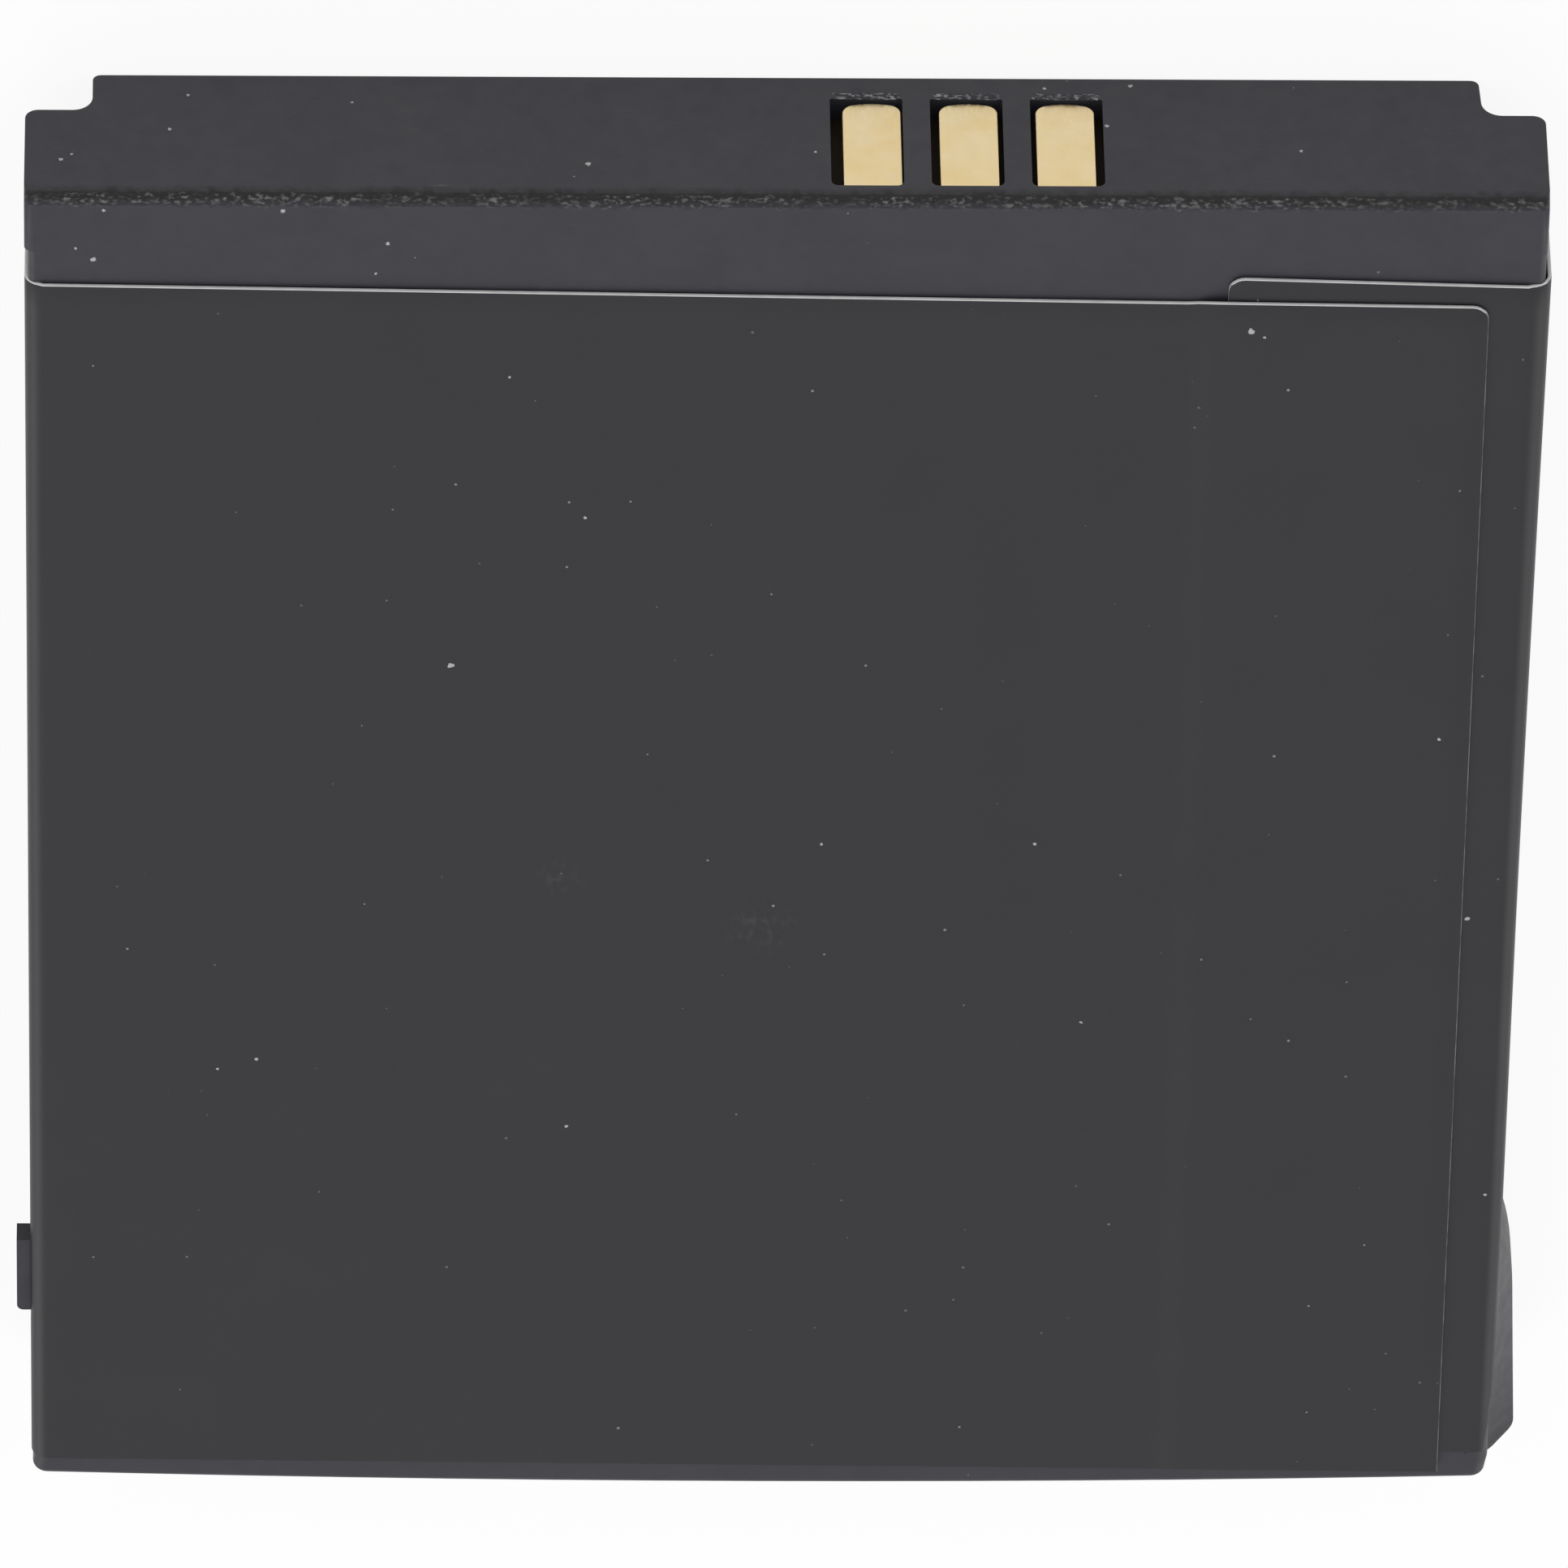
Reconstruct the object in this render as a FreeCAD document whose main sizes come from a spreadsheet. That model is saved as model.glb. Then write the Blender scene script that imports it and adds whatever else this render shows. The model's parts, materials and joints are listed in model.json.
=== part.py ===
import FreeCAD, Part
import os
import Sketcher
from FreeCAD import Vector

# A slim lithium-ion battery pack, in millimetres.
# The pieces are drawn with the pack on its end: X across the width, the front with the label's overlap
# looking to -Y, and Z up from the sole to the end face with the contacts. Each is then placed in the
# pack lying on its back, with the front up, the contacts to +Y and the origin under its middle.

# Driving sizes: name, value in millimetres
SIZES = [
    # Outside of the moulded cap, and the height over everything
    ("pack_width", 46.0),
    ("pack_thickness", 5.9),
    ("pack_height", 52.0),
    # Label: a film wound once round the pack, its ends lapped on the front
    ("label_film", 0.12),
    ("label_layer_gap", 0.02),
    ("label_top_margin", 3.32),
    ("label_foot_margin", 1.12),
    ("label_top_wind", 0.15),
    ("label_foot_wind", 0.43),
    ("label_top_skew", 0.58),
    ("label_foot_skew", 0.37),
    ("label_inner_radius", 0.33),
    ("label_end_radius", 0.5),
    ("underlap_length", 9.5),
    ("underlap_rise", 0.28),
    ("overlap_margin", 1.6),
    ("lap_ramp", 1.1),
    ("lap_clearance", 0.15),
    # Moulded top cap
    ("cap_height", 5.7),
    ("cap_wall", 0.7),
    ("cap_end_wall", 0.8),
    ("cap_end_block", 2.9),
    ("cap_front_chamfer", 0.3),
    ("cap_corner_radius", 0.25),
    ("label_seat_margin", 2.1),
    ("notch_width", 2.03),
    ("notch_depth", 1.62),
    ("notch_height", 3.0),
    ("notch_inner_radius", 0.6),
    ("notch_corner_radius", 0.25),
    ("window_width", 2.2),
    ("window_pitch", 3.03),
    ("window_first", 2.43),
    ("window_front_margin", 0.73),
    ("window_back_margin", 0.99),
    ("window_corner_radius", 0.12),
    # Moulded frame: a floor and two side rails
    ("floor_thickness", 1.4),
    ("floor_bow", 0.34),
    ("rail_thickness", 0.7),
    ("tongue_length", 3.0),
    ("tongue_height", 1.0),
    ("tongue_thickness", 0.3),
    ("tongue_margin", 0.2),
    ("tongue_clearance", 0.05),
    ("tab_proud", 0.43),
    ("tab_low", 6.82),
    ("tab_height", 2.9),
    ("tab_depth", 0.8),
    ("tab_front_margin", 0.5),
    ("tab_corner_radius", 0.2),
    ("lug_proud_low", 0.74),
    ("lug_proud_high", 0.44),
    ("lug_low", 1.0),
    ("lug_knee", 0.25),
    ("lug_shoulder", 6.15),
    ("lug_height", 8.8),
    ("lug_front_margin", 0.55),
    ("lug_depth", 3.4),
    ("lug_slope", 1.9),
    ("lug_knee_radius", 0.3),
    ("label_cutout_clearance", 0.12),
    # Cell and what is on its lid
    ("cell_clearance", 0.05),
    ("cell_corner_radius", 0.6),
    ("cell_base_radius", 0.5),
    ("bottom_pad_thickness", 0.2),
    ("bottom_pad_margin", 1.2),
    ("round_clearance", 0.03),
    ("gasket_length", 4.4),
    ("gasket_width", 3.0),
    ("gasket_flange", 0.35),
    ("gasket_neck_radius", 1.0),
    ("gasket_neck_depth", 1.0),
    ("terminal_length", 3.2),
    ("terminal_width", 2.0),
    ("terminal_head", 0.3),
    ("terminal_stem_radius", 0.6),
    ("fill_plug_margin", 9.1),
    ("fill_plug_radius", 0.6),
    ("fill_plug_depth", 0.5),
    ("insulator_thickness", 0.15),
    ("insulator_margin", 0.3),
    # Nickel strips and the thermal fuse
    ("strip_thickness", 0.12),
    ("strip_width", 2.4),
    ("strip_bend_radius", 0.1),
    ("positive_strip_margin", 0.9),
    ("positive_foot", 4.5),
    ("strip_flange", 3.5),
    ("fuse_place", 4.0),
    ("fuse_length", 5.5),
    ("fuse_width", 2.6),
    ("fuse_height", 1.1),
    ("fuse_edge_radius", 0.25),
    ("negative_strip_margin", 4.1),
    # Board, contacts and chips
    ("board_thickness", 0.8),
    ("board_clearance", 0.1),
    ("contact_width", 1.8),
    ("contact_pitch", 2.92),
    ("contact_first", 2.6),
    ("contact_recess", 0.12),
    ("contact_end_gap", 0.05),
    ("contact_arch", 0.2),
    ("contact_corner_radius", 0.15),
    ("protection_chip_place", -8.0),
    ("protection_chip_length", 2.9),
    ("protection_chip_width", 1.4),
    ("protection_chip_height", 1.0),
    ("switch_chip_place", -2.6),
    ("switch_chip_length", 3.0),
    ("switch_chip_width", 2.0),
    ("switch_chip_height", 0.9),
    ("lead_pitch", 0.95),
    ("lead_width", 0.35),
    ("lead_reach", 0.45),
    ("lead_thickness", 0.15),
    ("thermistor_gap", 2.0),
    ("capacitor_place", 1.2),
    ("resistor_place", 6.4),
    ("small_chip_pitch", 1.6),
    ("small_chip_length", 1.0),
    ("small_chip_width", 0.5),
    ("small_chip_height", 0.5),
]

# How many of each thing there are
CONTACT_NAMES = ["contact_positive", "contact_sense", "contact_negative"]
SMALL_CHIP_COUNT = 3
LEADS_PER_SIDE = 3

# Point numbers that the sketcher gives to a line's ends, a round's centre and its own origin
START = 1
END = 2
CENTRE = 3
ORIGIN = -1

# How far a cut runs past the face that it opens
PAST = 1.0

# Two coordinates closer than this are the same place
SAME_PLACE = 1e-4

doc = FreeCAD.newDocument("battery_pack")
sheet = doc.addObject("Spreadsheet::Sheet", "sizes")


class Size:
    """A length that knows both its number and the sheet expression that gives it."""

    def __init__(self, value, text):
        self.value = value
        self.text = text

    def __add__(self, other):
        other = as_size(other)
        return Size(self.value + other.value, f"({self.text} + {other.text})")

    def __sub__(self, other):
        other = as_size(other)
        return Size(self.value - other.value, f"({self.text} - {other.text})")

    def __mul__(self, other):
        other = as_size(other)
        return Size(self.value * other.value, f"({self.text} * {other.text})")

    def __truediv__(self, other):
        other = as_size(other)
        return Size(self.value / other.value, f"({self.text} / {other.text})")

    def __neg__(self):
        return as_size(0) - self


def as_size(number):
    """A plain number as a Size, so that both can stand in one sum."""
    if isinstance(number, Size):
        return number
    return Size(float(number), str(number))


def fill_sheet():
    """Writes the driving sizes to the sheet and returns them by name."""
    sizes = {}
    for row, (name, value) in enumerate(SIZES, 1):
        sheet.set(f"A{row}", name)
        sheet.set(f"B{row}", str(value))
        sheet.setAlias(f"B{row}", name)
        sizes[name] = Size(value, f"sizes.{name}")
    doc.recompute()
    return sizes


SIZE = fill_sheet()
ZERO = as_size(0)

# Levels and half sizes that several pieces share
cap_half = SIZE["pack_width"] / 2
face = SIZE["pack_thickness"] / 2
side = cap_half - SIZE["label_film"]
rail_inside = side - SIZE["rail_thickness"]
cell_half = rail_inside - SIZE["cell_clearance"]
floor_top = SIZE["floor_thickness"]
cell_low = floor_top + SIZE["bottom_pad_thickness"]
end_face = SIZE["pack_height"]
lid = end_face - SIZE["cap_height"]
insulator_top = lid + SIZE["insulator_thickness"]
board_top = end_face - SIZE["cap_end_wall"]
board_low = board_top - SIZE["board_thickness"]
cavity_half = cap_half - SIZE["cap_end_block"]
cavity_face = face - SIZE["cap_wall"]
board_half = cavity_half - SIZE["board_clearance"]
fill_plug_place = cell_half - SIZE["fill_plug_margin"]
label_top = end_face - SIZE["label_top_margin"]
label_low = SIZE["label_foot_margin"]
window_front = SIZE["window_front_margin"] - face
window_back = face - SIZE["window_back_margin"]


def new_body(label):
    """An empty body whose label names the piece."""
    body = doc.addObject("PartDesign::Body", label)
    body.Label = label
    return body


def sketch_on(body, name, role, lift):
    """A sketch on one of the body's own origin planes, lifted along that plane's normal."""
    sketch = body.newObject("Sketcher::SketchObject", name)
    planes = [item for item in body.Origin.OriginFeatures if item.Role == role]
    sketch.AttachmentSupport = [(planes[0], "")]
    sketch.MapMode = "FlatFace"
    sketch.setExpression("AttachmentOffset.Base.z", lift.text)
    return sketch


def pin(sketch, geometry, point, place):
    """Fixes one point of a sketch at a place given by two sizes."""
    for kind, size in zip(("DistanceX", "DistanceY"), place):
        rule = Sketcher.Constraint(kind, ORIGIN, START, geometry, point, size.value)
        index = sketch.addConstraint(rule)
        sketch.setExpression(f"Constraints[{index}]", size.text)


def outline(sketch, corners):
    """A closed outline of straight lines, each of its corners fixed by two sizes."""
    points = [Vector(x.value, y.value, 0) for x, y in corners]
    first = sketch.GeometryCount
    count = len(points)
    for index, point in enumerate(points):
        sketch.addGeometry(Part.LineSegment(point, points[(index + 1) % count]))
    for index, corner in enumerate(corners):
        line = first + index
        following = first + (index + 1) % count
        sketch.addConstraint(Sketcher.Constraint("Coincident", line, END, following, START))
        pin(sketch, line, START, corner)


def rectangle(sketch, left, right, low, high):
    """An upright rectangle between four sizes."""
    outline(sketch, [(left, low), (right, low), (right, high), (left, high)])


def arched_outline(sketch, corners, crown, bow):
    """An outline of lines, closed from its last corner to its first by an arc, all anticlockwise."""
    points = [Vector(x.value, y.value, 0) for x, y in corners]
    for start, end in zip(points, points[1:]):
        sketch.addGeometry(Part.LineSegment(start, end))
    last = len(points) - 2
    for index in range(last):
        sketch.addConstraint(Sketcher.Constraint("Coincident", index, END, index + 1, START))
    for index, corner in enumerate(corners[:-1]):
        pin(sketch, index, START, corner)
    pin(sketch, last, END, corners[-1])
    top = Vector(crown[0].value, crown[1].value, 0)
    arc = sketch.addGeometry(Part.Arc(points[-1], top, points[0]))
    sketch.addConstraint(Sketcher.Constraint("Coincident", last, END, arc, START))
    sketch.addConstraint(Sketcher.Constraint("Coincident", arc, END, 0, START))
    half = (corners[0][0] - corners[-1][0]) / 2
    radius = half * half / (bow * 2) + bow / 2
    rule = sketch.addConstraint(Sketcher.Constraint("Radius", arc, radius.value))
    sketch.setExpression(f"Constraints[{rule}]", radius.text)


def disc(sketch, centre, radius):
    """A circle with its centre and radius fixed by sizes."""
    middle = Vector(centre[0].value, centre[1].value, 0)
    index = sketch.addGeometry(Part.Circle(middle, Vector(0, 0, 1), radius.value))
    pin(sketch, index, CENTRE, centre)
    rule = sketch.addConstraint(Sketcher.Constraint("Radius", index, radius.value))
    sketch.setExpression(f"Constraints[{rule}]", radius.text)


def pad(body, name, sketch, length):
    """Raises a sketch along its plane's normal."""
    feature = body.newObject("PartDesign::Pad", name)
    feature.Profile = sketch
    feature.setExpression("Length", length.text)
    doc.recompute()
    return feature


def pocket(body, name, sketch, length, along_normal=False):
    """Cuts a sketch against its plane's normal, or along it, and checks that something was cut."""
    before = body.Shape.Volume
    feature = body.newObject("PartDesign::Pocket", name)
    feature.Profile = sketch
    feature.Reversed = along_normal
    feature.setExpression("Length", length.text)
    doc.recompute()
    if not feature.Shape.Volume < before:
        raise RuntimeError(f"{name} in {body.Label} cuts nothing")
    return feature


def mirror_across(body, name, originals):
    """Repeats features on the other side of the middle of the width."""
    planes = [item for item in body.Origin.OriginFeatures if item.Role == "YZ_Plane"]
    feature = body.newObject("PartDesign::Mirrored", name)
    feature.Originals = originals
    feature.MirrorPlane = (planes[0], [""])
    body.Tip = feature
    doc.recompute()
    return feature


def row_of(body, name, original, pitch, count):
    """Repeats a feature along the width at an even pitch."""
    axes = [item for item in body.Origin.OriginFeatures if item.Role == "X_Axis"]
    feature = body.newObject("PartDesign::LinearPattern", name)
    feature.Originals = [original]
    feature.Direction = (axes[0], [""])
    feature.Occurrences = count
    feature.setExpression("Length", (pitch * (count - 1)).text)
    body.Tip = feature
    doc.recompute()
    return feature


def keeps_to(**places):
    """A test for edges that keep to one of the given places along each named axis."""

    def test(edge):
        for axis, sizes in places.items():
            spots = [getattr(vertex.Point, axis) for vertex in edge.Vertexes]
            hits = [all(abs(spot - size.value) < SAME_PLACE for spot in spots) for size in sizes]
            if not any(hits):
                return False
        return True

    return test


def dress(body, kind, name, size_property, size, wanted):
    """Adds a fillet or chamfer of one size to every edge that passes the test."""
    base = body.Tip
    edges = [f"Edge{index}" for index, edge in enumerate(base.Shape.Edges, 1) if wanted(edge)]
    if not edges:
        raise RuntimeError(f"{name} in {body.Label} finds no edge")
    feature = body.newObject(kind, name)
    feature.Base = (base, edges)
    feature.setExpression(size_property, size.text)
    doc.recompute()
    if not feature.Shape.isValid():
        raise RuntimeError(f"{name} in {body.Label} is not sound")
    return feature


def round_edges(body, name, radius, wanted):
    """Rounds the edges that pass the test."""
    return dress(body, "PartDesign::Fillet", name, "Radius", radius, wanted)


def bevel_edges(body, name, size, wanted):
    """Bevels the edges that pass the test."""
    return dress(body, "PartDesign::Chamfer", name, "Size", size, wanted)


def make_block(label, x, y, z):
    """A plain block between two sizes along each axis."""
    body = new_body(label)
    base = sketch_on(body, f"{label}_outline", "XY_Plane", z[0])
    rectangle(base, *x, *y)
    pad(body, f"{label}_block", base, z[1] - z[0])
    return body


def make_top_cap():
    """The moulded end cap: contact windows, notched back corners, label seats and board cavity."""
    body = new_body("top_cap")
    walls = sketch_on(body, "cap_outline", "XY_Plane", lid)
    rectangle(walls, -cap_half, cap_half, -face, face)
    pad(body, "cap_block", walls, SIZE["cap_height"])
    front_top = keeps_to(y=[-face], z=[end_face])
    bevel_edges(body, "cap_front_edge", SIZE["cap_front_chamfer"], front_top)

    # The label's seat is a shallow step in each side, with corners to the label's own bend
    seat_top = end_face - SIZE["label_seat_margin"]
    seat = sketch_on(body, "label_seat_outline", "XZ_Plane", face + PAST)
    rectangle(seat, side, cap_half + PAST, lid - PAST, seat_top)
    seat_cut = pocket(body, "label_seat", seat, SIZE["pack_thickness"] + PAST * 2)
    mirror_across(body, "label_seats", [seat_cut])
    seat_corners = keeps_to(x=[-side, side], y=[-face, face])
    round_edges(body, "label_seat_corners", SIZE["label_inner_radius"], seat_corners)
    corners = keeps_to(x=[-cap_half, cap_half], y=[-face])
    round_edges(body, "cap_front_corners", SIZE["cap_corner_radius"], corners)

    # The notches are open to the end face, the back and the sides
    notch_inside = cap_half - SIZE["notch_width"]
    notch_front = face - SIZE["notch_depth"]
    notch = sketch_on(body, "notch_outline", "XY_Plane", end_face + PAST)
    rectangle(notch, notch_inside, cap_half + PAST, notch_front, face + PAST)
    notch_cut = pocket(body, "notch", notch, SIZE["notch_height"] + PAST)
    mirror_across(body, "notches", [notch_cut])
    inner = keeps_to(x=[-notch_inside, notch_inside], y=[notch_front])
    round_edges(body, "notch_inner_corners", SIZE["notch_inner_radius"], inner)
    on_back = keeps_to(x=[-notch_inside, notch_inside], y=[face])
    round_edges(body, "notch_back_corners", SIZE["notch_corner_radius"], on_back)
    on_sides = keeps_to(x=[-cap_half, cap_half], y=[notch_front])
    round_edges(body, "notch_side_corners", SIZE["notch_corner_radius"], on_sides)

    # The cavity for the board is open towards the cell
    cavity = sketch_on(body, "cavity_outline", "XY_Plane", lid)
    rectangle(cavity, -cavity_half, cavity_half, -cavity_face, cavity_face)
    cavity_depth = SIZE["cap_height"] - SIZE["cap_end_wall"]
    pocket(body, "cavity", cavity, cavity_depth, along_normal=True)

    window_left = SIZE["window_first"] - SIZE["window_width"] / 2
    window_right = SIZE["window_first"] + SIZE["window_width"] / 2
    window = sketch_on(body, "window_outline", "XY_Plane", end_face)
    rectangle(window, window_left, window_right, window_front, window_back)
    window_cut = pocket(body, "window", window, SIZE["cap_end_wall"])
    row_of(body, "windows", window_cut, SIZE["window_pitch"], len(CONTACT_NAMES))
    ends = []
    for index in range(len(CONTACT_NAMES)):
        shift = SIZE["window_pitch"] * index
        ends.append(window_left + shift)
        ends.append(window_right + shift)
    window_corners = keeps_to(x=ends, y=[window_front, window_back])
    round_edges(body, "window_corners", SIZE["window_corner_radius"], window_corners)

    # Grooves under the end blocks take the tongues of the frame's rails
    play = SIZE["tongue_clearance"]
    tongue_right = side - SIZE["tongue_margin"]
    tongue_left = tongue_right - SIZE["tongue_thickness"]
    tongue_reach = SIZE["tongue_length"] / 2 + play
    groove = sketch_on(body, "groove_outline", "XY_Plane", lid)
    rectangle(groove, tongue_left - play, tongue_right + play, -tongue_reach, tongue_reach)
    groove_cut = pocket(body, "groove", groove, SIZE["tongue_height"] + play, along_normal=True)
    mirror_across(body, "grooves", [groove_cut])
    return body


def make_pack_frame():
    """The moulded frame: bowed floor, two rails with tongues, the small tab and the long lug."""
    body = new_body("pack_frame")
    bow = SIZE["floor_bow"]
    rails = sketch_on(body, "frame_outline", "XZ_Plane", -face)
    corners = [
        (side, bow),
        (side, lid),
        (rail_inside, lid),
        (rail_inside, floor_top),
        (-rail_inside, floor_top),
        (-rail_inside, lid),
        (-side, lid),
        (-side, bow),
    ]

    # The sole is an arc from corner to corner
    arched_outline(rails, corners, (ZERO, ZERO), bow)
    pad(body, "frame_block", rails, SIZE["pack_thickness"])
    upright = keeps_to(x=[-side, side], y=[-face, face])
    under = keeps_to(y=[-face, face], z=[bow])
    corner = keeps_to(x=[-side, side], z=[bow])

    def on_rim(edge):
        return upright(edge) or under(edge) or corner(edge)

    round_edges(body, "frame_rim", SIZE["label_inner_radius"], on_rim)

    # A tongue on each rail's top locates the cap
    tongue_right = side - SIZE["tongue_margin"]
    tongue_left = tongue_right - SIZE["tongue_thickness"]
    tongue_reach = SIZE["tongue_length"] / 2
    tongue = sketch_on(body, "tongue_outline", "XY_Plane", lid)
    rectangle(tongue, tongue_left, tongue_right, -tongue_reach, tongue_reach)
    tongue_pad = pad(body, "tongue", tongue, SIZE["tongue_height"])
    mirror_across(body, "tongues", [tongue_pad])

    # The tab stands out of the left rail, through the label
    tab_front = SIZE["tab_front_margin"] - face
    tab_high = SIZE["tab_low"] + SIZE["tab_height"]
    tab_side = -cap_half - SIZE["tab_proud"]
    tab = sketch_on(body, "tab_outline", "YZ_Plane", tab_side)
    rectangle(tab, tab_front, tab_front + SIZE["tab_depth"], SIZE["tab_low"], tab_high)
    pad(body, "tab", tab, SIZE["label_film"] + SIZE["tab_proud"])
    tab_foot = keeps_to(x=[tab_side], z=[SIZE["tab_low"]])
    round_edges(body, "tab_corner", SIZE["tab_corner_radius"], tab_foot)

    # The lug on the right rail is proudest at its foot, fades into the side at its top and slopes
    # away from the front
    lug_back = SIZE["lug_front_margin"] + SIZE["lug_depth"] - face
    knee_side = cap_half + SIZE["lug_proud_low"]
    shoulder_side = cap_half + SIZE["lug_proud_high"]
    lug = sketch_on(body, "lug_outline", "XZ_Plane", -lug_back)
    lug_corners = [
        (side, SIZE["lug_low"]),
        (knee_side, SIZE["lug_low"] + SIZE["lug_knee"]),
        (shoulder_side, SIZE["lug_low"] + SIZE["lug_shoulder"]),
        (side, SIZE["lug_low"] + SIZE["lug_height"]),
    ]
    outline(lug, lug_corners)
    pad(body, "lug", lug, SIZE["lug_depth"])
    lug_front = SIZE["lug_front_margin"] - face
    slope = sketch_on(body, "lug_slope_outline", "XY_Plane", SIZE["lug_low"] + SIZE["lug_height"])
    outline(slope, [
        (side, lug_front),
        (knee_side, lug_front),
        (knee_side, lug_front + SIZE["lug_slope"]),
    ])
    pocket(body, "lug_slope", slope, SIZE["lug_height"])
    knee = keeps_to(x=[knee_side])
    round_edges(body, "lug_knee", SIZE["lug_knee_radius"], knee)
    return body


def make_label():
    """The film: wound once round the pack from its underlap, and lapped over that on the front."""
    body = new_body("label")
    film = SIZE["label_film"]
    lap_level = face + film + SIZE["label_layer_gap"]
    tip = side - SIZE["underlap_length"]
    ramp_end = tip - SIZE["lap_clearance"]
    ramp_start = ramp_end - SIZE["lap_ramp"]
    outer_end = side - SIZE["overlap_margin"]
    wound = side + film
    proud = face + film
    right_top = label_top + SIZE["label_top_wind"]
    right_low = label_low + SIZE["label_foot_wind"]
    end_top = label_top - SIZE["label_top_skew"]
    low = label_low - SIZE["label_foot_skew"]
    high = right_top + SIZE["underlap_rise"]
    wrap = sketch_on(body, "label_wrap", "XY_Plane", low)
    outline(wrap, [
        (tip, -face),
        (side, -face),
        (side, face),
        (-side, face),
        (-side, -face),
        (ramp_start, -face),
        (ramp_end, -lap_level),
        (outer_end, -lap_level),
        (outer_end, -lap_level - film),
        (ramp_end, -lap_level - film),
        (ramp_start, -proud),
        (-wound, -proud),
        (-wound, proud),
        (wound, proud),
        (wound, -proud),
        (tip, -proud),
    ])
    pad(body, "label_winding", wrap, high - low)
    inside = keeps_to(x=[-side, side], y=[-face, face])
    round_edges(body, "label_inner_corners", SIZE["label_inner_radius"], inside)
    outside = keeps_to(x=[-wound, wound], y=[-proud, proud])
    round_edges(body, "label_outer_corners", SIZE["label_inner_radius"] + film, outside)

    # Round the sides and the back the strip winds from a little higher on the right down to the left
    bend = side - SIZE["label_inner_radius"]
    wind = sketch_on(body, "label_wind_trim", "XZ_Plane", face)
    outline(wind, [
        (-wound, label_top),
        (-bend, label_top),
        (bend, right_top),
        (wound, right_top),
        (wound, high),
        (-wound, high),
    ])
    outline(wind, [
        (-wound, low),
        (wound, low),
        (wound, right_low),
        (bend, right_low),
        (-bend, label_low),
        (-wound, label_low),
    ])
    pocket(body, "label_wind", wind, SIZE["pack_thickness"] + film)

    # On the front it slants down to the right, first on the pack and then over the underlap
    share = (ramp_end + bend) / (outer_end + bend)
    top_at_tip = label_top - SIZE["label_top_skew"] * share
    low_at_tip = label_low - SIZE["label_foot_skew"] * share
    slant = sketch_on(body, "label_slant_trim", "XZ_Plane", face)
    outline(slant, [
        (-wound, label_top),
        (-bend, label_top),
        (ramp_end, top_at_tip),
        (ramp_end, high),
        (-wound, high),
    ])
    outline(slant, [
        (-wound, label_low),
        (-wound, low),
        (ramp_end, low),
        (ramp_end, low_at_tip),
        (-bend, label_low),
    ])
    lap_depth = lap_level + film - face
    pocket(body, "label_slant", slant, lap_depth, along_normal=True)
    over = sketch_on(body, "label_lap_trim", "XZ_Plane", lap_level - SIZE["label_layer_gap"] / 2)
    outline(over, [
        (ramp_end, top_at_tip),
        (outer_end, end_top),
        (outer_end, high),
        (ramp_end, high),
    ])
    outline(over, [
        (ramp_end, low_at_tip),
        (ramp_end, low),
        (outer_end, low),
    ])
    pocket(body, "label_lap", over, film * 2, along_normal=True)

    # The underlap rises a little towards its end
    under = sketch_on(body, "underlap_trim", "XZ_Plane", face)
    outline(under, [
        (tip, high),
        (bend, right_top),
        (wound, right_top),
        (wound, high),
    ])
    outline(under, [
        (tip, low),
        (wound, low),
        (wound, right_low),
        (bend, right_low),
        (tip, right_low + SIZE["underlap_rise"]),
    ])
    pocket(body, "underlap", under, film, along_normal=True)

    # The film's two ends have rounded corners
    ends = keeps_to(x=[outer_end], z=[end_top, low])
    round_edges(body, "overlap_corners", SIZE["label_end_radius"], ends)
    ends = keeps_to(x=[tip], z=[high, right_low + SIZE["underlap_rise"]])
    round_edges(body, "underlap_corners", SIZE["label_end_radius"], ends)

    # Cut-outs for the frame's tab and lug
    play = SIZE["label_cutout_clearance"]
    tab_front = SIZE["tab_front_margin"] - face
    tab_hole = sketch_on(body, "tab_hole_outline", "YZ_Plane", -side)
    rectangle(
        tab_hole,
        tab_front - play,
        tab_front + SIZE["tab_depth"] + play,
        SIZE["tab_low"] - play,
        SIZE["tab_low"] + SIZE["tab_height"] + play,
    )
    pocket(body, "tab_hole", tab_hole, film)
    lug_front = SIZE["lug_front_margin"] - face
    lug_hole = sketch_on(body, "lug_hole_outline", "YZ_Plane", side)
    rectangle(
        lug_hole,
        lug_front - play,
        lug_front + SIZE["lug_depth"] + play,
        low,
        SIZE["lug_low"] + SIZE["lug_height"] + play,
    )
    pocket(body, "lug_hole", lug_hole, film, along_normal=True)
    return body


def make_cell_can():
    """The sealed cell, with the bores in its lid for the terminal's gasket and the fill plug."""
    body = new_body("cell_can")
    can = sketch_on(body, "can_outline", "XY_Plane", cell_low)
    rectangle(can, -cell_half, cell_half, -face, face)
    pad(body, "can", can, lid - cell_low)
    upright = keeps_to(x=[-cell_half, cell_half], y=[-face, face])
    round_edges(body, "can_corners", SIZE["cell_corner_radius"], upright)

    def at_base(edge):
        return all(abs(vertex.Point.z - cell_low.value) < SAME_PLACE for vertex in edge.Vertexes)

    round_edges(body, "can_base", SIZE["cell_base_radius"], at_base)
    bore = sketch_on(body, "gasket_bore_outline", "XY_Plane", lid)
    disc(bore, (ZERO, ZERO), SIZE["gasket_neck_radius"] + SIZE["round_clearance"])
    pocket(body, "gasket_bore", bore, SIZE["gasket_neck_depth"])
    fill = sketch_on(body, "fill_bore_outline", "XY_Plane", lid)
    disc(fill, (fill_plug_place, ZERO), SIZE["fill_plug_radius"] + SIZE["round_clearance"])
    pocket(body, "fill_bore", fill, SIZE["fill_plug_depth"])
    return body


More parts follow.
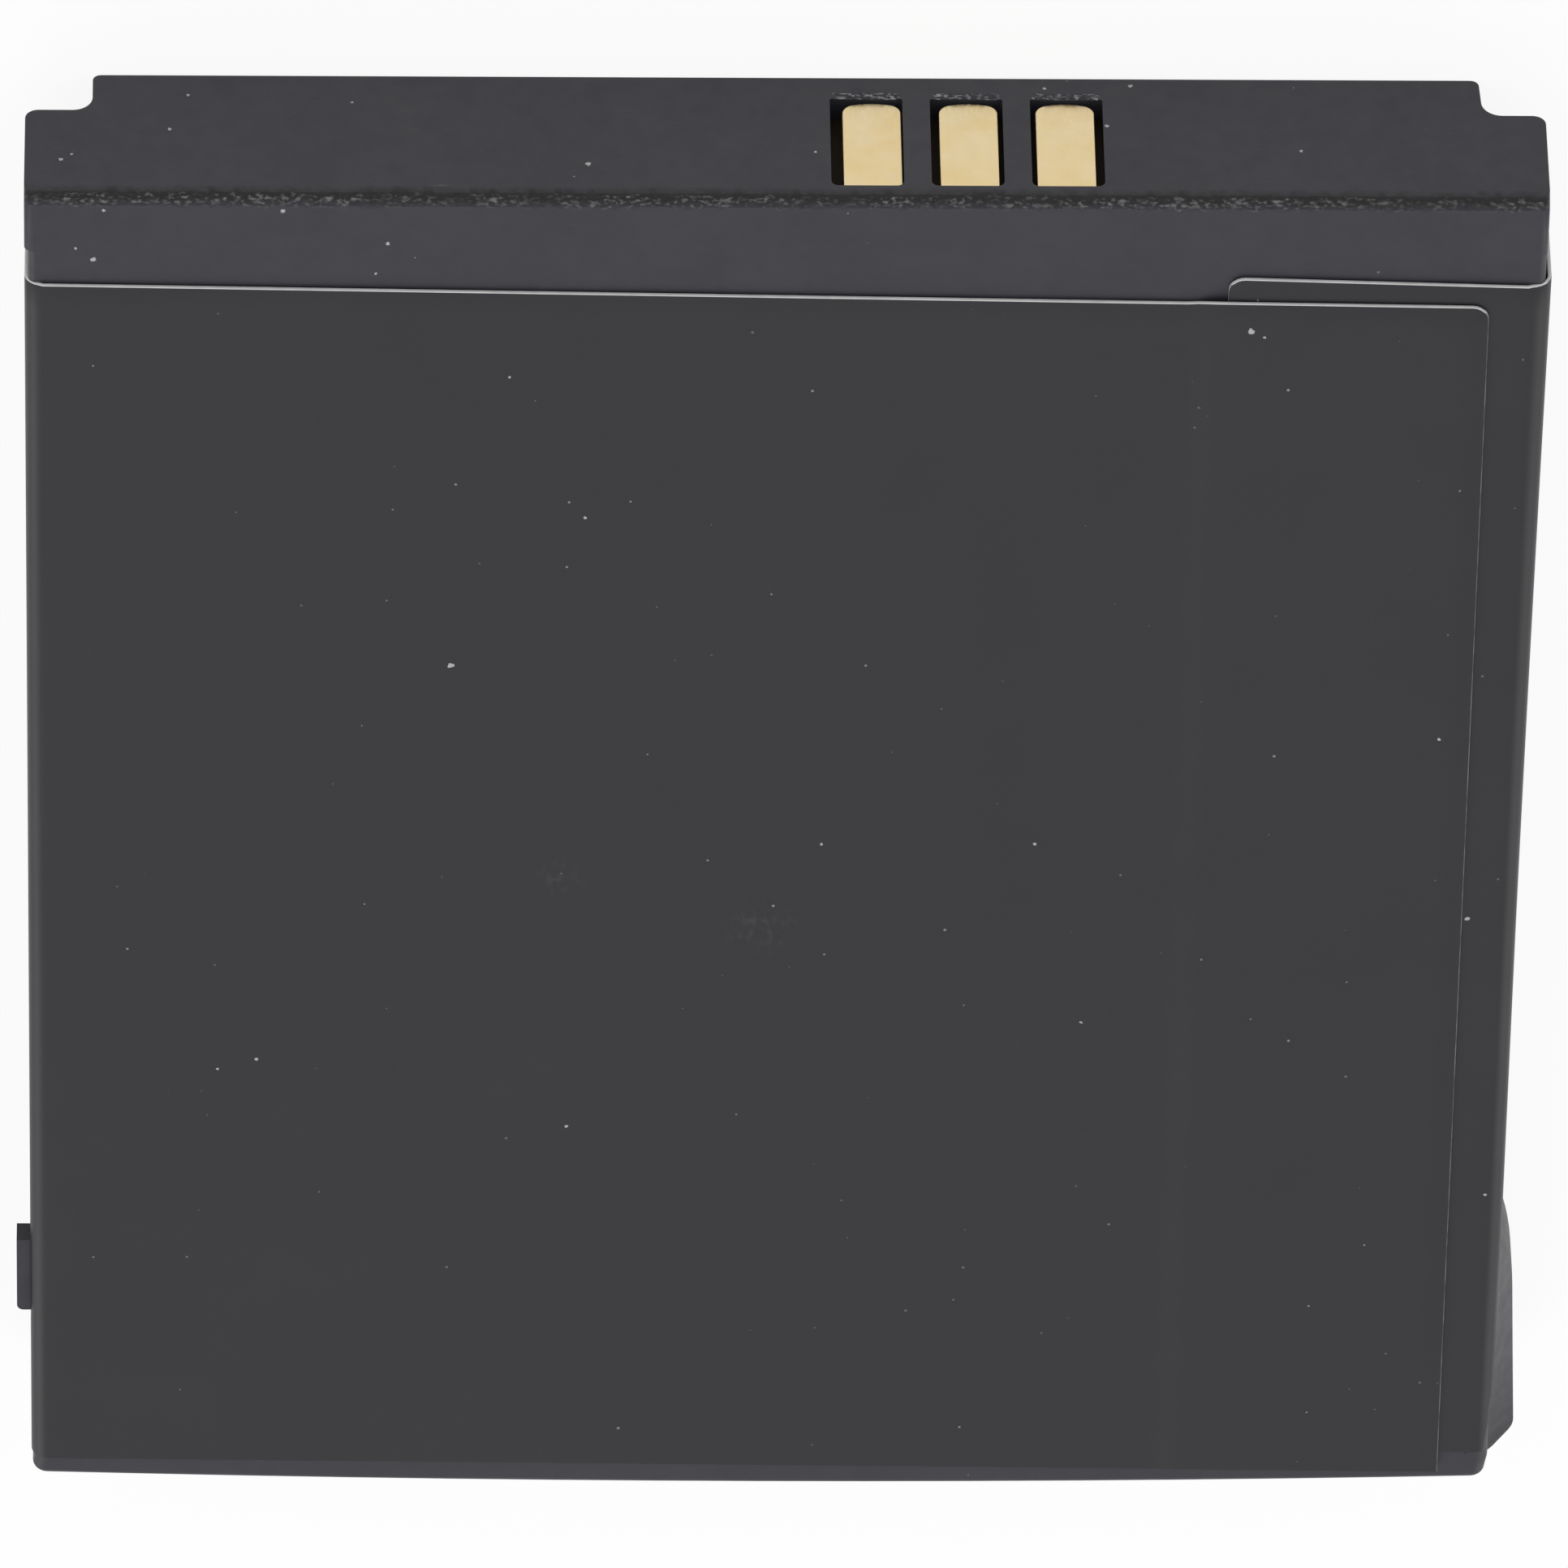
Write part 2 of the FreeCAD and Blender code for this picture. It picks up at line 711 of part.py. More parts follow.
def make_terminal_gasket():
    """The flanged bush that insulates the rivet from the lid."""
    body = new_body("terminal_gasket")
    flange = sketch_on(body, "flange_outline", "XY_Plane", lid)
    length = SIZE["gasket_length"] / 2
    width = SIZE["gasket_width"] / 2
    rectangle(flange, -length, length, -width, width)
    pad(body, "flange", flange, SIZE["gasket_flange"])
    neck = sketch_on(body, "neck_outline", "XY_Plane", lid - SIZE["gasket_neck_depth"])
    disc(neck, (ZERO, ZERO), SIZE["gasket_neck_radius"])
    pad(body, "neck", neck, SIZE["gasket_neck_depth"])
    bore = sketch_on(body, "stem_bore_outline", "XY_Plane", lid + SIZE["gasket_flange"])
    disc(bore, (ZERO, ZERO), SIZE["terminal_stem_radius"] + SIZE["round_clearance"])
    pocket(body, "stem_bore", bore, SIZE["gasket_flange"] + SIZE["gasket_neck_depth"])
    return body


def make_cell_terminal():
    """The cell's rivet: a flat head on the gasket and a stem down through it."""
    body = new_body("cell_terminal")
    head_low = lid + SIZE["gasket_flange"]
    head = sketch_on(body, "head_outline", "XY_Plane", head_low)
    length = SIZE["terminal_length"] / 2
    width = SIZE["terminal_width"] / 2
    rectangle(head, -length, length, -width, width)
    pad(body, "head", head, SIZE["terminal_head"])
    stem_length = SIZE["gasket_flange"] + SIZE["gasket_neck_depth"]
    stem = sketch_on(body, "stem_outline", "XY_Plane", head_low - stem_length)
    disc(stem, (ZERO, ZERO), SIZE["terminal_stem_radius"])
    pad(body, "stem", stem, stem_length)
    return body


def make_fill_plug():
    """The plug that closes the cell's filling hole, flush with the lid."""
    body = new_body("fill_plug")
    plug = sketch_on(body, "plug_outline", "XY_Plane", lid - SIZE["fill_plug_depth"])
    disc(plug, (fill_plug_place, ZERO), SIZE["fill_plug_radius"])
    pad(body, "plug", plug, SIZE["fill_plug_depth"])
    return body


def make_lid_insulator():
    """Insulating paper on the lid, open round the terminal and under the positive strip's foot."""
    body = new_body("lid_insulator")
    margin = SIZE["insulator_margin"]
    paper = sketch_on(body, "paper_outline", "XY_Plane", lid)
    foot_right = SIZE["positive_strip_margin"] + SIZE["positive_foot"] - cavity_half
    left = foot_right + margin
    right = cavity_half - margin
    front = cavity_face - margin
    rectangle(paper, left, right, -front, front)
    pad(body, "paper", paper, SIZE["insulator_thickness"])
    hole = sketch_on(body, "terminal_hole_outline", "XY_Plane", insulator_top)
    length = SIZE["gasket_length"] / 2 + margin
    width = SIZE["gasket_width"] / 2 + margin / 2
    rectangle(hole, -length, length, -width, width)
    pocket(body, "terminal_hole", hole, SIZE["insulator_thickness"])
    return body


def make_strip(label, foot_level, foot_end, bend_side, flange_end):
    """A nickel strip folded from a foot, up to the board's underside and back along it."""
    body = new_body(label)
    gauge = SIZE["strip_thickness"]
    toward = 1 if foot_end.value > bend_side.value else -1
    inside = bend_side + gauge * toward
    profile = sketch_on(body, f"{label}_profile", "XZ_Plane", -SIZE["strip_width"] / 2)
    outline(profile, [
        (foot_end, foot_level),
        (bend_side, foot_level),
        (bend_side, board_low),
        (flange_end, board_low),
        (flange_end, board_low - gauge),
        (inside, board_low - gauge),
        (inside, foot_level + gauge),
        (foot_end, foot_level + gauge),
    ])
    pad(body, f"{label}_strip", profile, SIZE["strip_width"])
    outer = keeps_to(x=[bend_side], z=[foot_level, board_low])
    round_edges(body, f"{label}_outer_bends", SIZE["strip_bend_radius"] + gauge, outer)
    inner = keeps_to(x=[inside], z=[foot_level + gauge, board_low - gauge])
    round_edges(body, f"{label}_inner_bends", SIZE["strip_bend_radius"], inner)
    return body


def make_strips_and_fuse():
    """The positive strip, and the negative lead with the thermal fuse in it."""
    half_strip = SIZE["strip_width"] / 2
    gauge = SIZE["strip_thickness"]
    positive_bend = SIZE["positive_strip_margin"] - cavity_half
    positive = make_strip(
        "positive_strip",
        lid,
        positive_bend + SIZE["positive_foot"],
        positive_bend,
        positive_bend + SIZE["strip_flange"],
    )
    head_top = lid + SIZE["gasket_flange"] + SIZE["terminal_head"]
    fuse_end = SIZE["fuse_place"] + SIZE["fuse_length"]
    lead = make_block(
        "fuse_lead",
        (-SIZE["terminal_length"] / 2, SIZE["fuse_place"]),
        (-half_strip, half_strip),
        (head_top, head_top + gauge),
    )
    fuse = new_body("thermal_fuse")
    case = sketch_on(fuse, "fuse_outline", "XY_Plane", insulator_top)
    half_fuse = SIZE["fuse_width"] / 2
    rectangle(case, SIZE["fuse_place"], fuse_end, -half_fuse, half_fuse)
    pad(fuse, "fuse_case", case, SIZE["fuse_height"])
    long_edges = keeps_to(y=[-half_fuse, half_fuse], z=[insulator_top + SIZE["fuse_height"]])
    round_edges(fuse, "fuse_edges", SIZE["fuse_edge_radius"], long_edges)
    negative_bend = cavity_half - SIZE["negative_strip_margin"]
    negative = make_strip(
        "negative_strip",
        head_top,
        fuse_end,
        negative_bend,
        negative_bend - SIZE["strip_flange"],
    )
    return [positive, lead, fuse, negative]


def make_contacts():
    """The gold-plated pads on the board, arched at the back, each a little below the end face."""
    bodies = []
    front = window_front + SIZE["contact_end_gap"]
    back = window_back - SIZE["contact_end_gap"]
    for index, name in enumerate(CONTACT_NAMES):
        middle = SIZE["contact_first"] + SIZE["contact_pitch"] * index
        left = middle - SIZE["contact_width"] / 2
        right = middle + SIZE["contact_width"] / 2
        body = new_body(name)
        block = sketch_on(body, f"{name}_outline", "XY_Plane", board_top)
        shoulder = back - SIZE["contact_arch"]
        corners = [(left, shoulder), (left, front), (right, front), (right, shoulder)]
        arched_outline(block, corners, (middle, back), SIZE["contact_arch"])
        pad(body, f"{name}_pad", block, SIZE["cap_end_wall"] - SIZE["contact_recess"])
        upright = keeps_to(x=[left, right], y=[shoulder])
        round_edges(body, f"{name}_corners", SIZE["contact_corner_radius"], upright)
        bodies.append(body)
    return bodies


def make_leaded_chip(label, kind):
    """A moulded chip under the board, with a row of flat leads along each long side."""
    body = new_body(label)
    place = SIZE[f"{kind}_place"]
    half_length = SIZE[f"{kind}_length"] / 2
    half_width = SIZE[f"{kind}_width"] / 2
    height = SIZE[f"{kind}_height"]
    case = sketch_on(body, f"{label}_case_outline", "XY_Plane", board_low - height)
    rectangle(case, place - half_length, place + half_length, -half_width, half_width)
    pad(body, f"{label}_case", case, height)
    reach = half_width + SIZE["lead_reach"]
    lead_middle = place - SIZE["lead_pitch"] * (LEADS_PER_SIDE - 1) / 2
    half_lead = SIZE["lead_width"] / 2
    lead = sketch_on(body, f"{label}_lead_outline", "XY_Plane", board_low - SIZE["lead_thickness"])
    rectangle(lead, lead_middle - half_lead, lead_middle + half_lead, -reach, reach)
    lead_pad = pad(body, f"{label}_lead", lead, SIZE["lead_thickness"])
    row_of(body, f"{label}_leads", lead_pad, SIZE["lead_pitch"], LEADS_PER_SIDE)
    return body


def small_chip(label, place):
    """One small two-ended chip under the board."""
    half_length = SIZE["small_chip_length"] / 2
    half_width = SIZE["small_chip_width"] / 2
    return make_block(
        label,
        (place - half_length, place + half_length),
        (-half_width, half_width),
        (board_low - SIZE["small_chip_height"], board_low),
    )


def small_chip_row(label, first):
    """A row of small chips that share one node."""
    chips = []
    for index in range(SMALL_CHIP_COUNT):
        chips.append(small_chip(f"{label}_{index + 1}", first + SIZE["small_chip_pitch"] * index))
    row = doc.addObject("Part::Compound", label)
    row.Label = label
    row.Links = chips
    return row


def make_board():
    """The circuit board, held against the underside of the cap's end wall, and its chips."""
    board_face = cavity_face - SIZE["board_clearance"]
    chip_left = SIZE["protection_chip_place"] - SIZE["protection_chip_length"] / 2
    thermistor_place = chip_left - SIZE["thermistor_gap"] - SIZE["small_chip_length"] / 2
    board = make_block(
        "protection_board",
        (-board_half, board_half),
        (-board_face, board_face),
        (board_low, board_top),
    )
    return [
        board,
        make_leaded_chip("protection_chip", "protection_chip"),
        make_leaded_chip("switch_chip", "switch_chip"),
        small_chip_row("chip_capacitors", SIZE["capacitor_place"]),
        small_chip_row("chip_resistors", SIZE["resistor_place"]),
        small_chip("thermistor", thermistor_place),
    ]


def make_bottom_pad():
    """The adhesive pad between the frame's floor and the cell."""
    margin = SIZE["bottom_pad_margin"]
    return make_block(
        "bottom_pad",
        (margin - cell_half, cell_half - margin),
        (margin - face, face - margin),
        (floor_top, cell_low),
    )


def lay_down():
    """Turns every body from the pack on its end to the pack on its back."""
    for body in doc.findObjects("PartDesign::Body"):
        body.Placement = FreeCAD.Placement(Vector(0, 0, 0), FreeCAD.Rotation(Vector(1, 0, 0), -90))
        body.setExpression("Placement.Base.y", (-end_face / 2).text)
        body.setExpression("Placement.Base.z", (face + SIZE["label_film"]).text)


def write_parts(pieces):
    """Checks every object and each piece's shape, then writes one file for each piece."""
    lay_down()
    doc.recompute()
    for item in doc.Objects:
        if "Invalid" in item.State or "Error" in item.State:
            raise RuntimeError(f"{item.Label} failed: {item.State}")
    for piece in pieces:
        if piece.Shape.isNull() or not piece.Shape.isValid():
            raise RuntimeError(f"{piece.Label} has no sound shape")
    os.makedirs("parts", exist_ok=True)
    for piece in pieces:
        piece.Shape.exportStep(f"parts/{piece.Label}.step")
        print(piece.Label, len(piece.Shape.Solids), round(piece.Shape.Volume, 3))


write_parts([
    make_label(),
    make_top_cap(),
    make_pack_frame(),
    make_bottom_pad(),
    make_cell_can(),
    make_terminal_gasket(),
    make_cell_terminal(),
    make_fill_plug(),
    make_lid_insulator(),
    *make_strips_and_fuse(),
    *make_contacts(),
    *make_board(),
])
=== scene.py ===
import json
import math
from collections import namedtuple

import bmesh
import bpy
from mathutils import Matrix, Vector


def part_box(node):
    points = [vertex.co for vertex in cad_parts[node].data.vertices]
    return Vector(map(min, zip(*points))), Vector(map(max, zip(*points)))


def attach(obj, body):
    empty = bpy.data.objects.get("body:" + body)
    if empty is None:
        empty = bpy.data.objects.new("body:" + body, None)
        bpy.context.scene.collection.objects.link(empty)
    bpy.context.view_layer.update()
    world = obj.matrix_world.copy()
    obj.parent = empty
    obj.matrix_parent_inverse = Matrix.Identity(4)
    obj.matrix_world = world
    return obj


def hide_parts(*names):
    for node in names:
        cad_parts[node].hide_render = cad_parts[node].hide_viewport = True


# A slim rechargeable battery pack, dressed in its finishes. It lies on its back with its front up, its
# contacts to +Y and its sole to -Y. Sizes are written in millimetres, and MM turns them into metres.
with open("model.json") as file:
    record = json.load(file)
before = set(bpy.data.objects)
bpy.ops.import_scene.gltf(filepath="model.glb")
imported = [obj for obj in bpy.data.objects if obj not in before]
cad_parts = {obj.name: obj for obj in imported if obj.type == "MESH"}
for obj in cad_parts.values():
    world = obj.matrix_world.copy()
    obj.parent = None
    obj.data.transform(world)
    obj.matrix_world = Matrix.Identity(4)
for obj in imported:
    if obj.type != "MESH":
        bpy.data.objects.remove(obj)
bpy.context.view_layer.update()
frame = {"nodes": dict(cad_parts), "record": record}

MM = 0.001
X, Y, Z = range(3)

# Two coordinates closer than this are the same place. Cuts and merges reach less far, and a place that
# must lie inside another keeps clear of its ends.
TOUCH = 0.002 * MM
CUT_REACH = TOUCH / 10
MERGE_REACH = TOUCH / 4
SLIVER = TOUCH / 20
CLEAR = 2 * TOUCH

# How far a cutter runs past the face that it opens
PAST = 1.0 * MM

# Facets across a rounded edge
WIDE_FACETS = 8
ROUND_FACETS = 6
CORNER_FACETS = 5
WINDOW_FACETS = 4
RIM_FACETS = 3
FILM_FACETS = 2
CHAMFER_FACETS = 1

# Faces that meet at less than this angle, in degrees, are shaded as one
SMOOTH_ANGLE = 35.0

# Thickness of the label's film
FILM = 0.12 * MM

# The pack's own planes, read from the frame
cap_low, cap_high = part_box("top_cap")
end_face = cap_high.y
sole = -end_face
lid = cap_low.y
front = cap_high.z
back = cap_low.z
half_cap = cap_high.x
side = half_cap - FILM

# Moulded end cap
SEAT_LINE = end_face - 2.1 * MM
SEAT_STEP = 0.04 * MM
RIGHT_SEAT_DEPTH = 0.03 * MM
NOTCH_INSIDE = half_cap - 2.03 * MM
NOTCH_FLOOR = end_face - 3.0 * MM
NOTCH_FRONT = back + 1.69 * MM
NOTCH_INNER_ROUND = 0.6 * MM
NOTCH_RIGHT_LEAN = 0.13 * MM
NOTCH_BACK_ROUND = 0.25 * MM
NOTCH_SIDE_ROUND = 0.4 * MM
CAP_CORNER_ROUND = 0.25 * MM
CAP_BACK_ROUND = 0.45 * MM
CAP_CHAMFER = 0.3 * MM
CAVITY_HALF = half_cap - 2.9 * MM
CAP_WALL = 0.7 * MM
END_WALL = 0.8 * MM
WINDOW_FIRST = 2.43 * MM
WINDOW_PITCH = 3.03 * MM
WINDOW_WIDTH = 2.2 * MM
WINDOW_FRONT = front - 0.73 * MM
WINDOW_BACK = back + 0.99 * MM
WINDOW_FRONT_ROUND = 0.22 * MM
WINDOW_BACK_ROUND = 0.08 * MM

# Torn edges that the mould left on the cap: the long front chamfer and the windows' far lips
chamfer_inside = end_face - CAP_CHAMFER
chamfer_below = front - CAP_CHAMFER
TORN_HALF = half_cap - 0.3 * MM
END_MARGIN = 0.3 * MM
FRONT_MARGIN = 0.12 * MM
TORN_CUTS = 460
TORN_ROWS = 3
TORN_DEPTH = 0.03 * MM
LIP_WIDTH = 0.26 * MM
LIP_DROP = 0.03 * MM
LIP_PARTS = 26
LIP_DEPTH = 0.025 * MM
TORN_SLOT, LIP_SLOT = 1, 2
TORN_SEED, LIP_SEED = 7, 3

# Label: a film wound once round the pack, its ends lapped on the front. At each station of the winding
# the strip has its own top and foot.
Station = namedtuple("Station", "x z top foot")
SKIN_SLOT, CORE_SLOT, WORN_SLOT = range(3)
FILM_GAP = 0.02 * MM
FILM_BEND = 0.45 * MM
FILM_END_ROUND = 0.5 * MM
FILM_ROWS = 48
FILM_STEP = 0.9 * MM
BEND_STEPS = 8
RAMP_STEPS = 6
UNDERLAP_TIP = side - 9.5 * MM
LAP_END = side - 1.6 * MM
LAP_RISE = 0.1 * MM
RAMP_END = UNDERLAP_TIP - 0.15 * MM
RAMP_START = RAMP_END - 1.1 * MM
LEFT_TOP = end_face - 3.3 * MM
LEFT_FOOT = sole + 1.12 * MM
RIGHT_TOP = LEFT_TOP + 0.15 * MM
RIGHT_FOOT = LEFT_FOOT + 0.43 * MM
TIP_TOP = RIGHT_TOP + 0.28 * MM
TIP_FOOT = RIGHT_FOOT + 0.28 * MM
LAP_TOP = LEFT_TOP - 0.66 * MM
LAP_FOOT = LEFT_FOOT - 0.37 * MM
CUT_EDGE_ROUND = 0.04 * MM
LAP_EDGE_ROUND = 0.11 * MM
CUTOUT_PLAY = 0.12 * MM
SLIT_INSIDE = 0.2 * MM
SLIT_BELOW = 0.03 * MM
TOP_LIFT = 0.03 * MM
LIFT_LOW = LAP_TOP - 0.2 * MM
UNDERLAP_LIFT_LOW = LAP_TOP + 0.4 * MM
FLARE = 0.16 * MM
FLARE_LOW = -4.0 * MM
FLARE_CURVE = 1.5

# A cut edge faces a way if its normal has more than this share that way
FACING = 0.7

# Moulded frame with its tab and lug
FLOOR_TOP = sole + 1.4 * MM
FLOOR_BOW = 0.34 * MM
FLOOR_LIP = 0.3 * MM
FLOOR_LIP_RISE = 0.2 * MM
FLOOR_LIP_PLAY = 0.03 * MM
BOW_PARTS = 14
RIM_ROUND = 0.24 * MM
RAIL_INSIDE = side - 0.7 * MM
FOOT_LINE = sole + 1.05 * MM
FOOT_SHIFT = -0.08 * MM
TAB_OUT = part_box("pack_frame")[0].x
TAB_LOW = sole + 6.82 * MM
TAB_HIGH = TAB_LOW + 2.9 * MM
TAB_FRONT = front - 0.5 * MM
TAB_BACK = TAB_FRONT - 0.8 * MM
TAB_ROUND = 0.2 * MM
LUG_OUT = half_cap + 0.735 * MM
LUG_LOW = sole + 1.0 * MM
LUG_KNEE = LUG_LOW + 0.25 * MM
LUG_SHOULDER = LUG_LOW + 6.9 * MM
LUG_SHOULDER_OUT = half_cap + 0.5 * MM
LUG_HIGH = LUG_LOW + 8.8 * MM
LUG_FRONT = front - 0.55 * MM
LUG_BACK = LUG_FRONT - 3.4 * MM
LUG_FOOT_SLOPE = 1.0 * MM
LUG_SHOULDER_SLOPE = 2.6 * MM
LUG_ROUND = 0.22 * MM
SHOULDER_ROUND = 1.4 * MM
LUG_BEND_STEPS = 6
LUG_STEP = 0.6 * MM

# Contact pads
CONTACTS = ["contact_positive", "contact_sense", "contact_negative"]
CONTACT_ARCH = 0.2 * MM
CONTACT_PARTS = 6
CONTACT_ROUND = 0.28 * MM
CONTACT_EDGE_ROUND = 0.05 * MM

# Photograph: the side of its square frame in pixels, and the view that was fitted to it with the pack on
# its end, in degrees
PHOTO_SIDE = 1932
LENS_PIXELS = 29309.5
PACK_CENTRE_PIXEL = (952.5, 979.6)
VIEW_AZIMUTH = -1.493
VIEW_ELEVATION = 40.314
VIEW_ROLL = 1.171
VIEW_DISTANCE = 735.4 * MM
SENSOR = 36.0
CLIP_START = 0.01
CLIP_END = 20.0

# Stage: light levels with 1 as white, and lamps by name, place, size and power, in metres and watts
FLOOR_SIZE = 4.0
FLOOR_GREY = 0.9
FLOOR_GLOW = 0.9
ROOM_LIGHT = 0.85
ROOM_SEEN = 1.0
LAMPS = [
    ("high_lamp", (-0.15, -0.3, 0.75), 0.9, 0.95),
    ("left_lamp", (-0.56, -0.5, 0.28), 0.5, 0.95),
    ("right_lamp", (0.56, -0.5, 0.28), 0.5, 0.65),
]


def near(a, b):
    """True if two coordinates are the same place."""
    return abs(a - b) < TOUCH


def start_block(name, low, high, *materials):
    """A cube primitive between two corners, with its place and size in its mesh, and its materials."""
    bpy.ops.object.select_all(action="DESELECT")
    low, high = Vector(low), Vector(high)
    bpy.ops.mesh.primitive_cube_add(size=1.0, location=(low + high) / 2)
    piece = bpy.context.object
    piece.name = name
    piece.data.name = name
    piece.scale = high - low
    bpy.ops.object.transform_apply(location=True, rotation=True, scale=True)
    for material in materials:
        piece.data.materials.append(material)
    return piece


def pick(piece):
    """Makes one piece the only one selected, and the active one."""
    bpy.ops.object.select_all(action="DESELECT")
    bpy.context.view_layer.objects.active = piece
    piece.select_set(True)


def shape(piece):
    """Opens a piece for editing."""
    pick(piece)
    bpy.ops.object.mode_set(mode="EDIT")


def leave():
    """Closes the piece that is being edited."""
    bpy.ops.object.mode_set(mode="OBJECT")


def choose(kind, wanted):
    """While editing, selects the vertices, edges or faces whose corner points pass the test."""
    bpy.ops.mesh.select_mode(type=kind)
    bpy.ops.mesh.select_all(action="DESELECT")
    data = bpy.context.object.data
    mesh = bmesh.from_edit_mesh(data)
    items = {"VERT": mesh.verts, "EDGE": mesh.edges, "FACE": mesh.faces}[kind]
    found = 0
    for item in items:
        points = [item.co] if kind == "VERT" else [corner.co for corner in item.verts]
        if wanted(points):
            item.select_set(True)
            found += 1
    mesh.select_flush_mode()
    bmesh.update_edit_mesh(data)
    if not found:
        raise RuntimeError(f"{bpy.context.object.name}: nothing is selected")


def all_at(axis, place):
    """A test for points that all lie at one place along an axis."""
    return lambda points: all(near(point[axis], place) for point in points)


def between(axis, low, high):
    """A test for points that all lie in one stretch of an axis, ends included."""
    return lambda points: all(low - TOUCH < point[axis] < high + TOUCH for point in points)


def both(*tests):
    """A test that passes where all of these do."""
    return lambda points: all(test(points) for test in tests)


def along(axis):
    """A test for edges that run along one axis."""
    others = [other for other in (X, Y, Z) if other != axis]

    def test(points):
        start, end = points
        return all(near(start[other], end[other]) for other in others)

    return test


def cut(axis, place, wanted=None):
    """While editing, cuts the faces that pass the test, or all of them, at a place along an axis."""
    normal = Vector()
    normal[axis] = 1.0
    cut_plane(normal * place, normal, wanted)


def cut_plane(point, normal, wanted=None):
    """While editing, cuts the faces that pass the test, or all of them, along a plane."""
    if wanted:
        choose("FACE", wanted)
    else:
        bpy.ops.mesh.select_all(action="SELECT")
    bpy.ops.mesh.bisect(plane_co=point, plane_no=normal, threshold=CUT_REACH)


def move(x=0.0, y=0.0, z=0.0):
    """While editing, moves what is selected."""
    bpy.ops.transform.translate(value=(x, y, z))


def round_off(width, facets, wanted):
    """While editing, bevels the edges that pass the test."""
    choose("EDGE", wanted)
    bpy.ops.mesh.bevel(offset=width, segments=facets, affect="EDGES", clamp_overlap=False)


def inner_stations(middle, half, parts):
    """The places that divide a stretch into even parts, its two ends left out."""
    return [middle + half * (2 * index / parts - 1) for index in range(1, parts)]


def divide(cuts, wanted):
    """While editing, divides the quads between rows of edges that pass the test."""
    choose("EDGE", wanted)
    bpy.ops.mesh.subdivide_edgering(number_cuts=cuts, interpolation="LINEAR")


def roughen(depth, seed, wanted):
    """While editing, jostles vertices at random, but lets none stand out of the end face."""
    choose("VERT", wanted)
    bpy.ops.transform.vertex_random(offset=depth, seed=seed)
    choose("VERT", lambda points: points[0].y > end_face - CUT_REACH)
    bpy.ops.transform.resize(value=(1.0, 0.0, 1.0), center_override=(0.0, end_face, 0.0))


def merge_doubles():
    """While editing, joins vertices that lie on one another."""
    bpy.ops.mesh.select_all(action="SELECT")
    bpy.ops.mesh.remove_doubles(threshold=MERGE_REACH)


def drop_slivers():
    """While editing, takes out faces and edges without size."""
    bpy.ops.mesh.select_all(action="SELECT")
    bpy.ops.mesh.dissolve_degenerate(threshold=SLIVER)


def paint(slot, wanted):
    """While editing, gives the faces that pass the test another of the piece's materials."""
    choose("FACE", wanted)
    bpy.context.object.active_material_index = slot
    bpy.ops.object.material_slot_assign()


def apply_modifier(piece, modifier):
    """Applies one modifier of a piece."""
    pick(piece)
    bpy.ops.object.modifier_apply(modifier=modifier.name)


def carve(piece, cutter):
    """Cuts one piece out of another with an applied boolean."""
    boolean = piece.modifiers.new("carve", "BOOLEAN")
    boolean.operation = "DIFFERENCE"
    boolean.solver = "EXACT"
    boolean.object = cutter
    apply_modifier(piece, boolean)
    bpy.data.objects.remove(cutter)


def make_end_cap(plastic, torn, lip):
    """The moulded cap: label seats, notched back corners, cavity, contact windows and torn edges."""
    cap = start_block("end_cap", cap_low, cap_high, plastic, torn, lip)
    carve_notches(cap)
    shape(cap)
    merge_doubles()
    round_cap_edges()
    mark_torn_edge()
    leave()
    carve_windows(cap)
    shape(cap)
    merge_doubles()
    step_label_seat()
    tear_front_edge()
    tear_window_lips()
    leave()
    return cap


def carve_notches(cap):
    """Cuts the two back corners out of the cap, each with a rounded inner corner."""
    for way in (-1, 1):
        ends = sorted((way * NOTCH_INSIDE, way * (half_cap + PAST)))
        notch = start_block(
            "notch_cutter",
            (ends[0], NOTCH_FLOOR, back - PAST),
            (ends[1], end_face + PAST, NOTCH_FRONT),
        )
        shape(notch)
        wall = way * NOTCH_INSIDE
        if way > 0:
            choose("VERT", both(all_at(X, wall), all_at(Z, NOTCH_FRONT)))
            wall += NOTCH_RIGHT_LEAN
            move(x=NOTCH_RIGHT_LEAN)
        round_off(NOTCH_INNER_ROUND, WIDE_FACETS, both(all_at(X, wall), all_at(Z, NOTCH_FRONT)))
        leave()
        carve(cap, notch)


def round_cap_edges():
    """While editing the cap, rounds its corners and bevels its long front edge."""

    def notch_back_corner(points):
        inside = NOTCH_INSIDE - NOTCH_RIGHT_LEAN < abs(points[0].x) < NOTCH_INSIDE + NOTCH_RIGHT_LEAN
        return along(Y)(points) and all_at(Z, back)(points) and inside

    def notch_side_corner(points):
        return along(Y)(points) and all_at(Z, NOTCH_FRONT)(points) and near(abs(points[0].x), half_cap)

    def back_corner(points):
        return along(Y)(points) and all_at(Z, back)(points) and near(abs(points[0].x), half_cap)

    def front_corner(points):
        outside = all(near(abs(point.x), half_cap) for point in points)
        forward = all(point.z > chamfer_below - TOUCH for point in points)
        return outside and forward and not near(points[0].y, points[1].y)

    round_off(NOTCH_BACK_ROUND, ROUND_FACETS, notch_back_corner)
    round_off(NOTCH_SIDE_ROUND, ROUND_FACETS, notch_side_corner)
    round_off(CAP_BACK_ROUND, ROUND_FACETS, back_corner)
    round_off(CAP_CHAMFER, CHAMFER_FACETS, both(all_at(Y, end_face), all_at(Z, front)))
    round_off(CAP_CORNER_ROUND, CORNER_FACETS, front_corner)


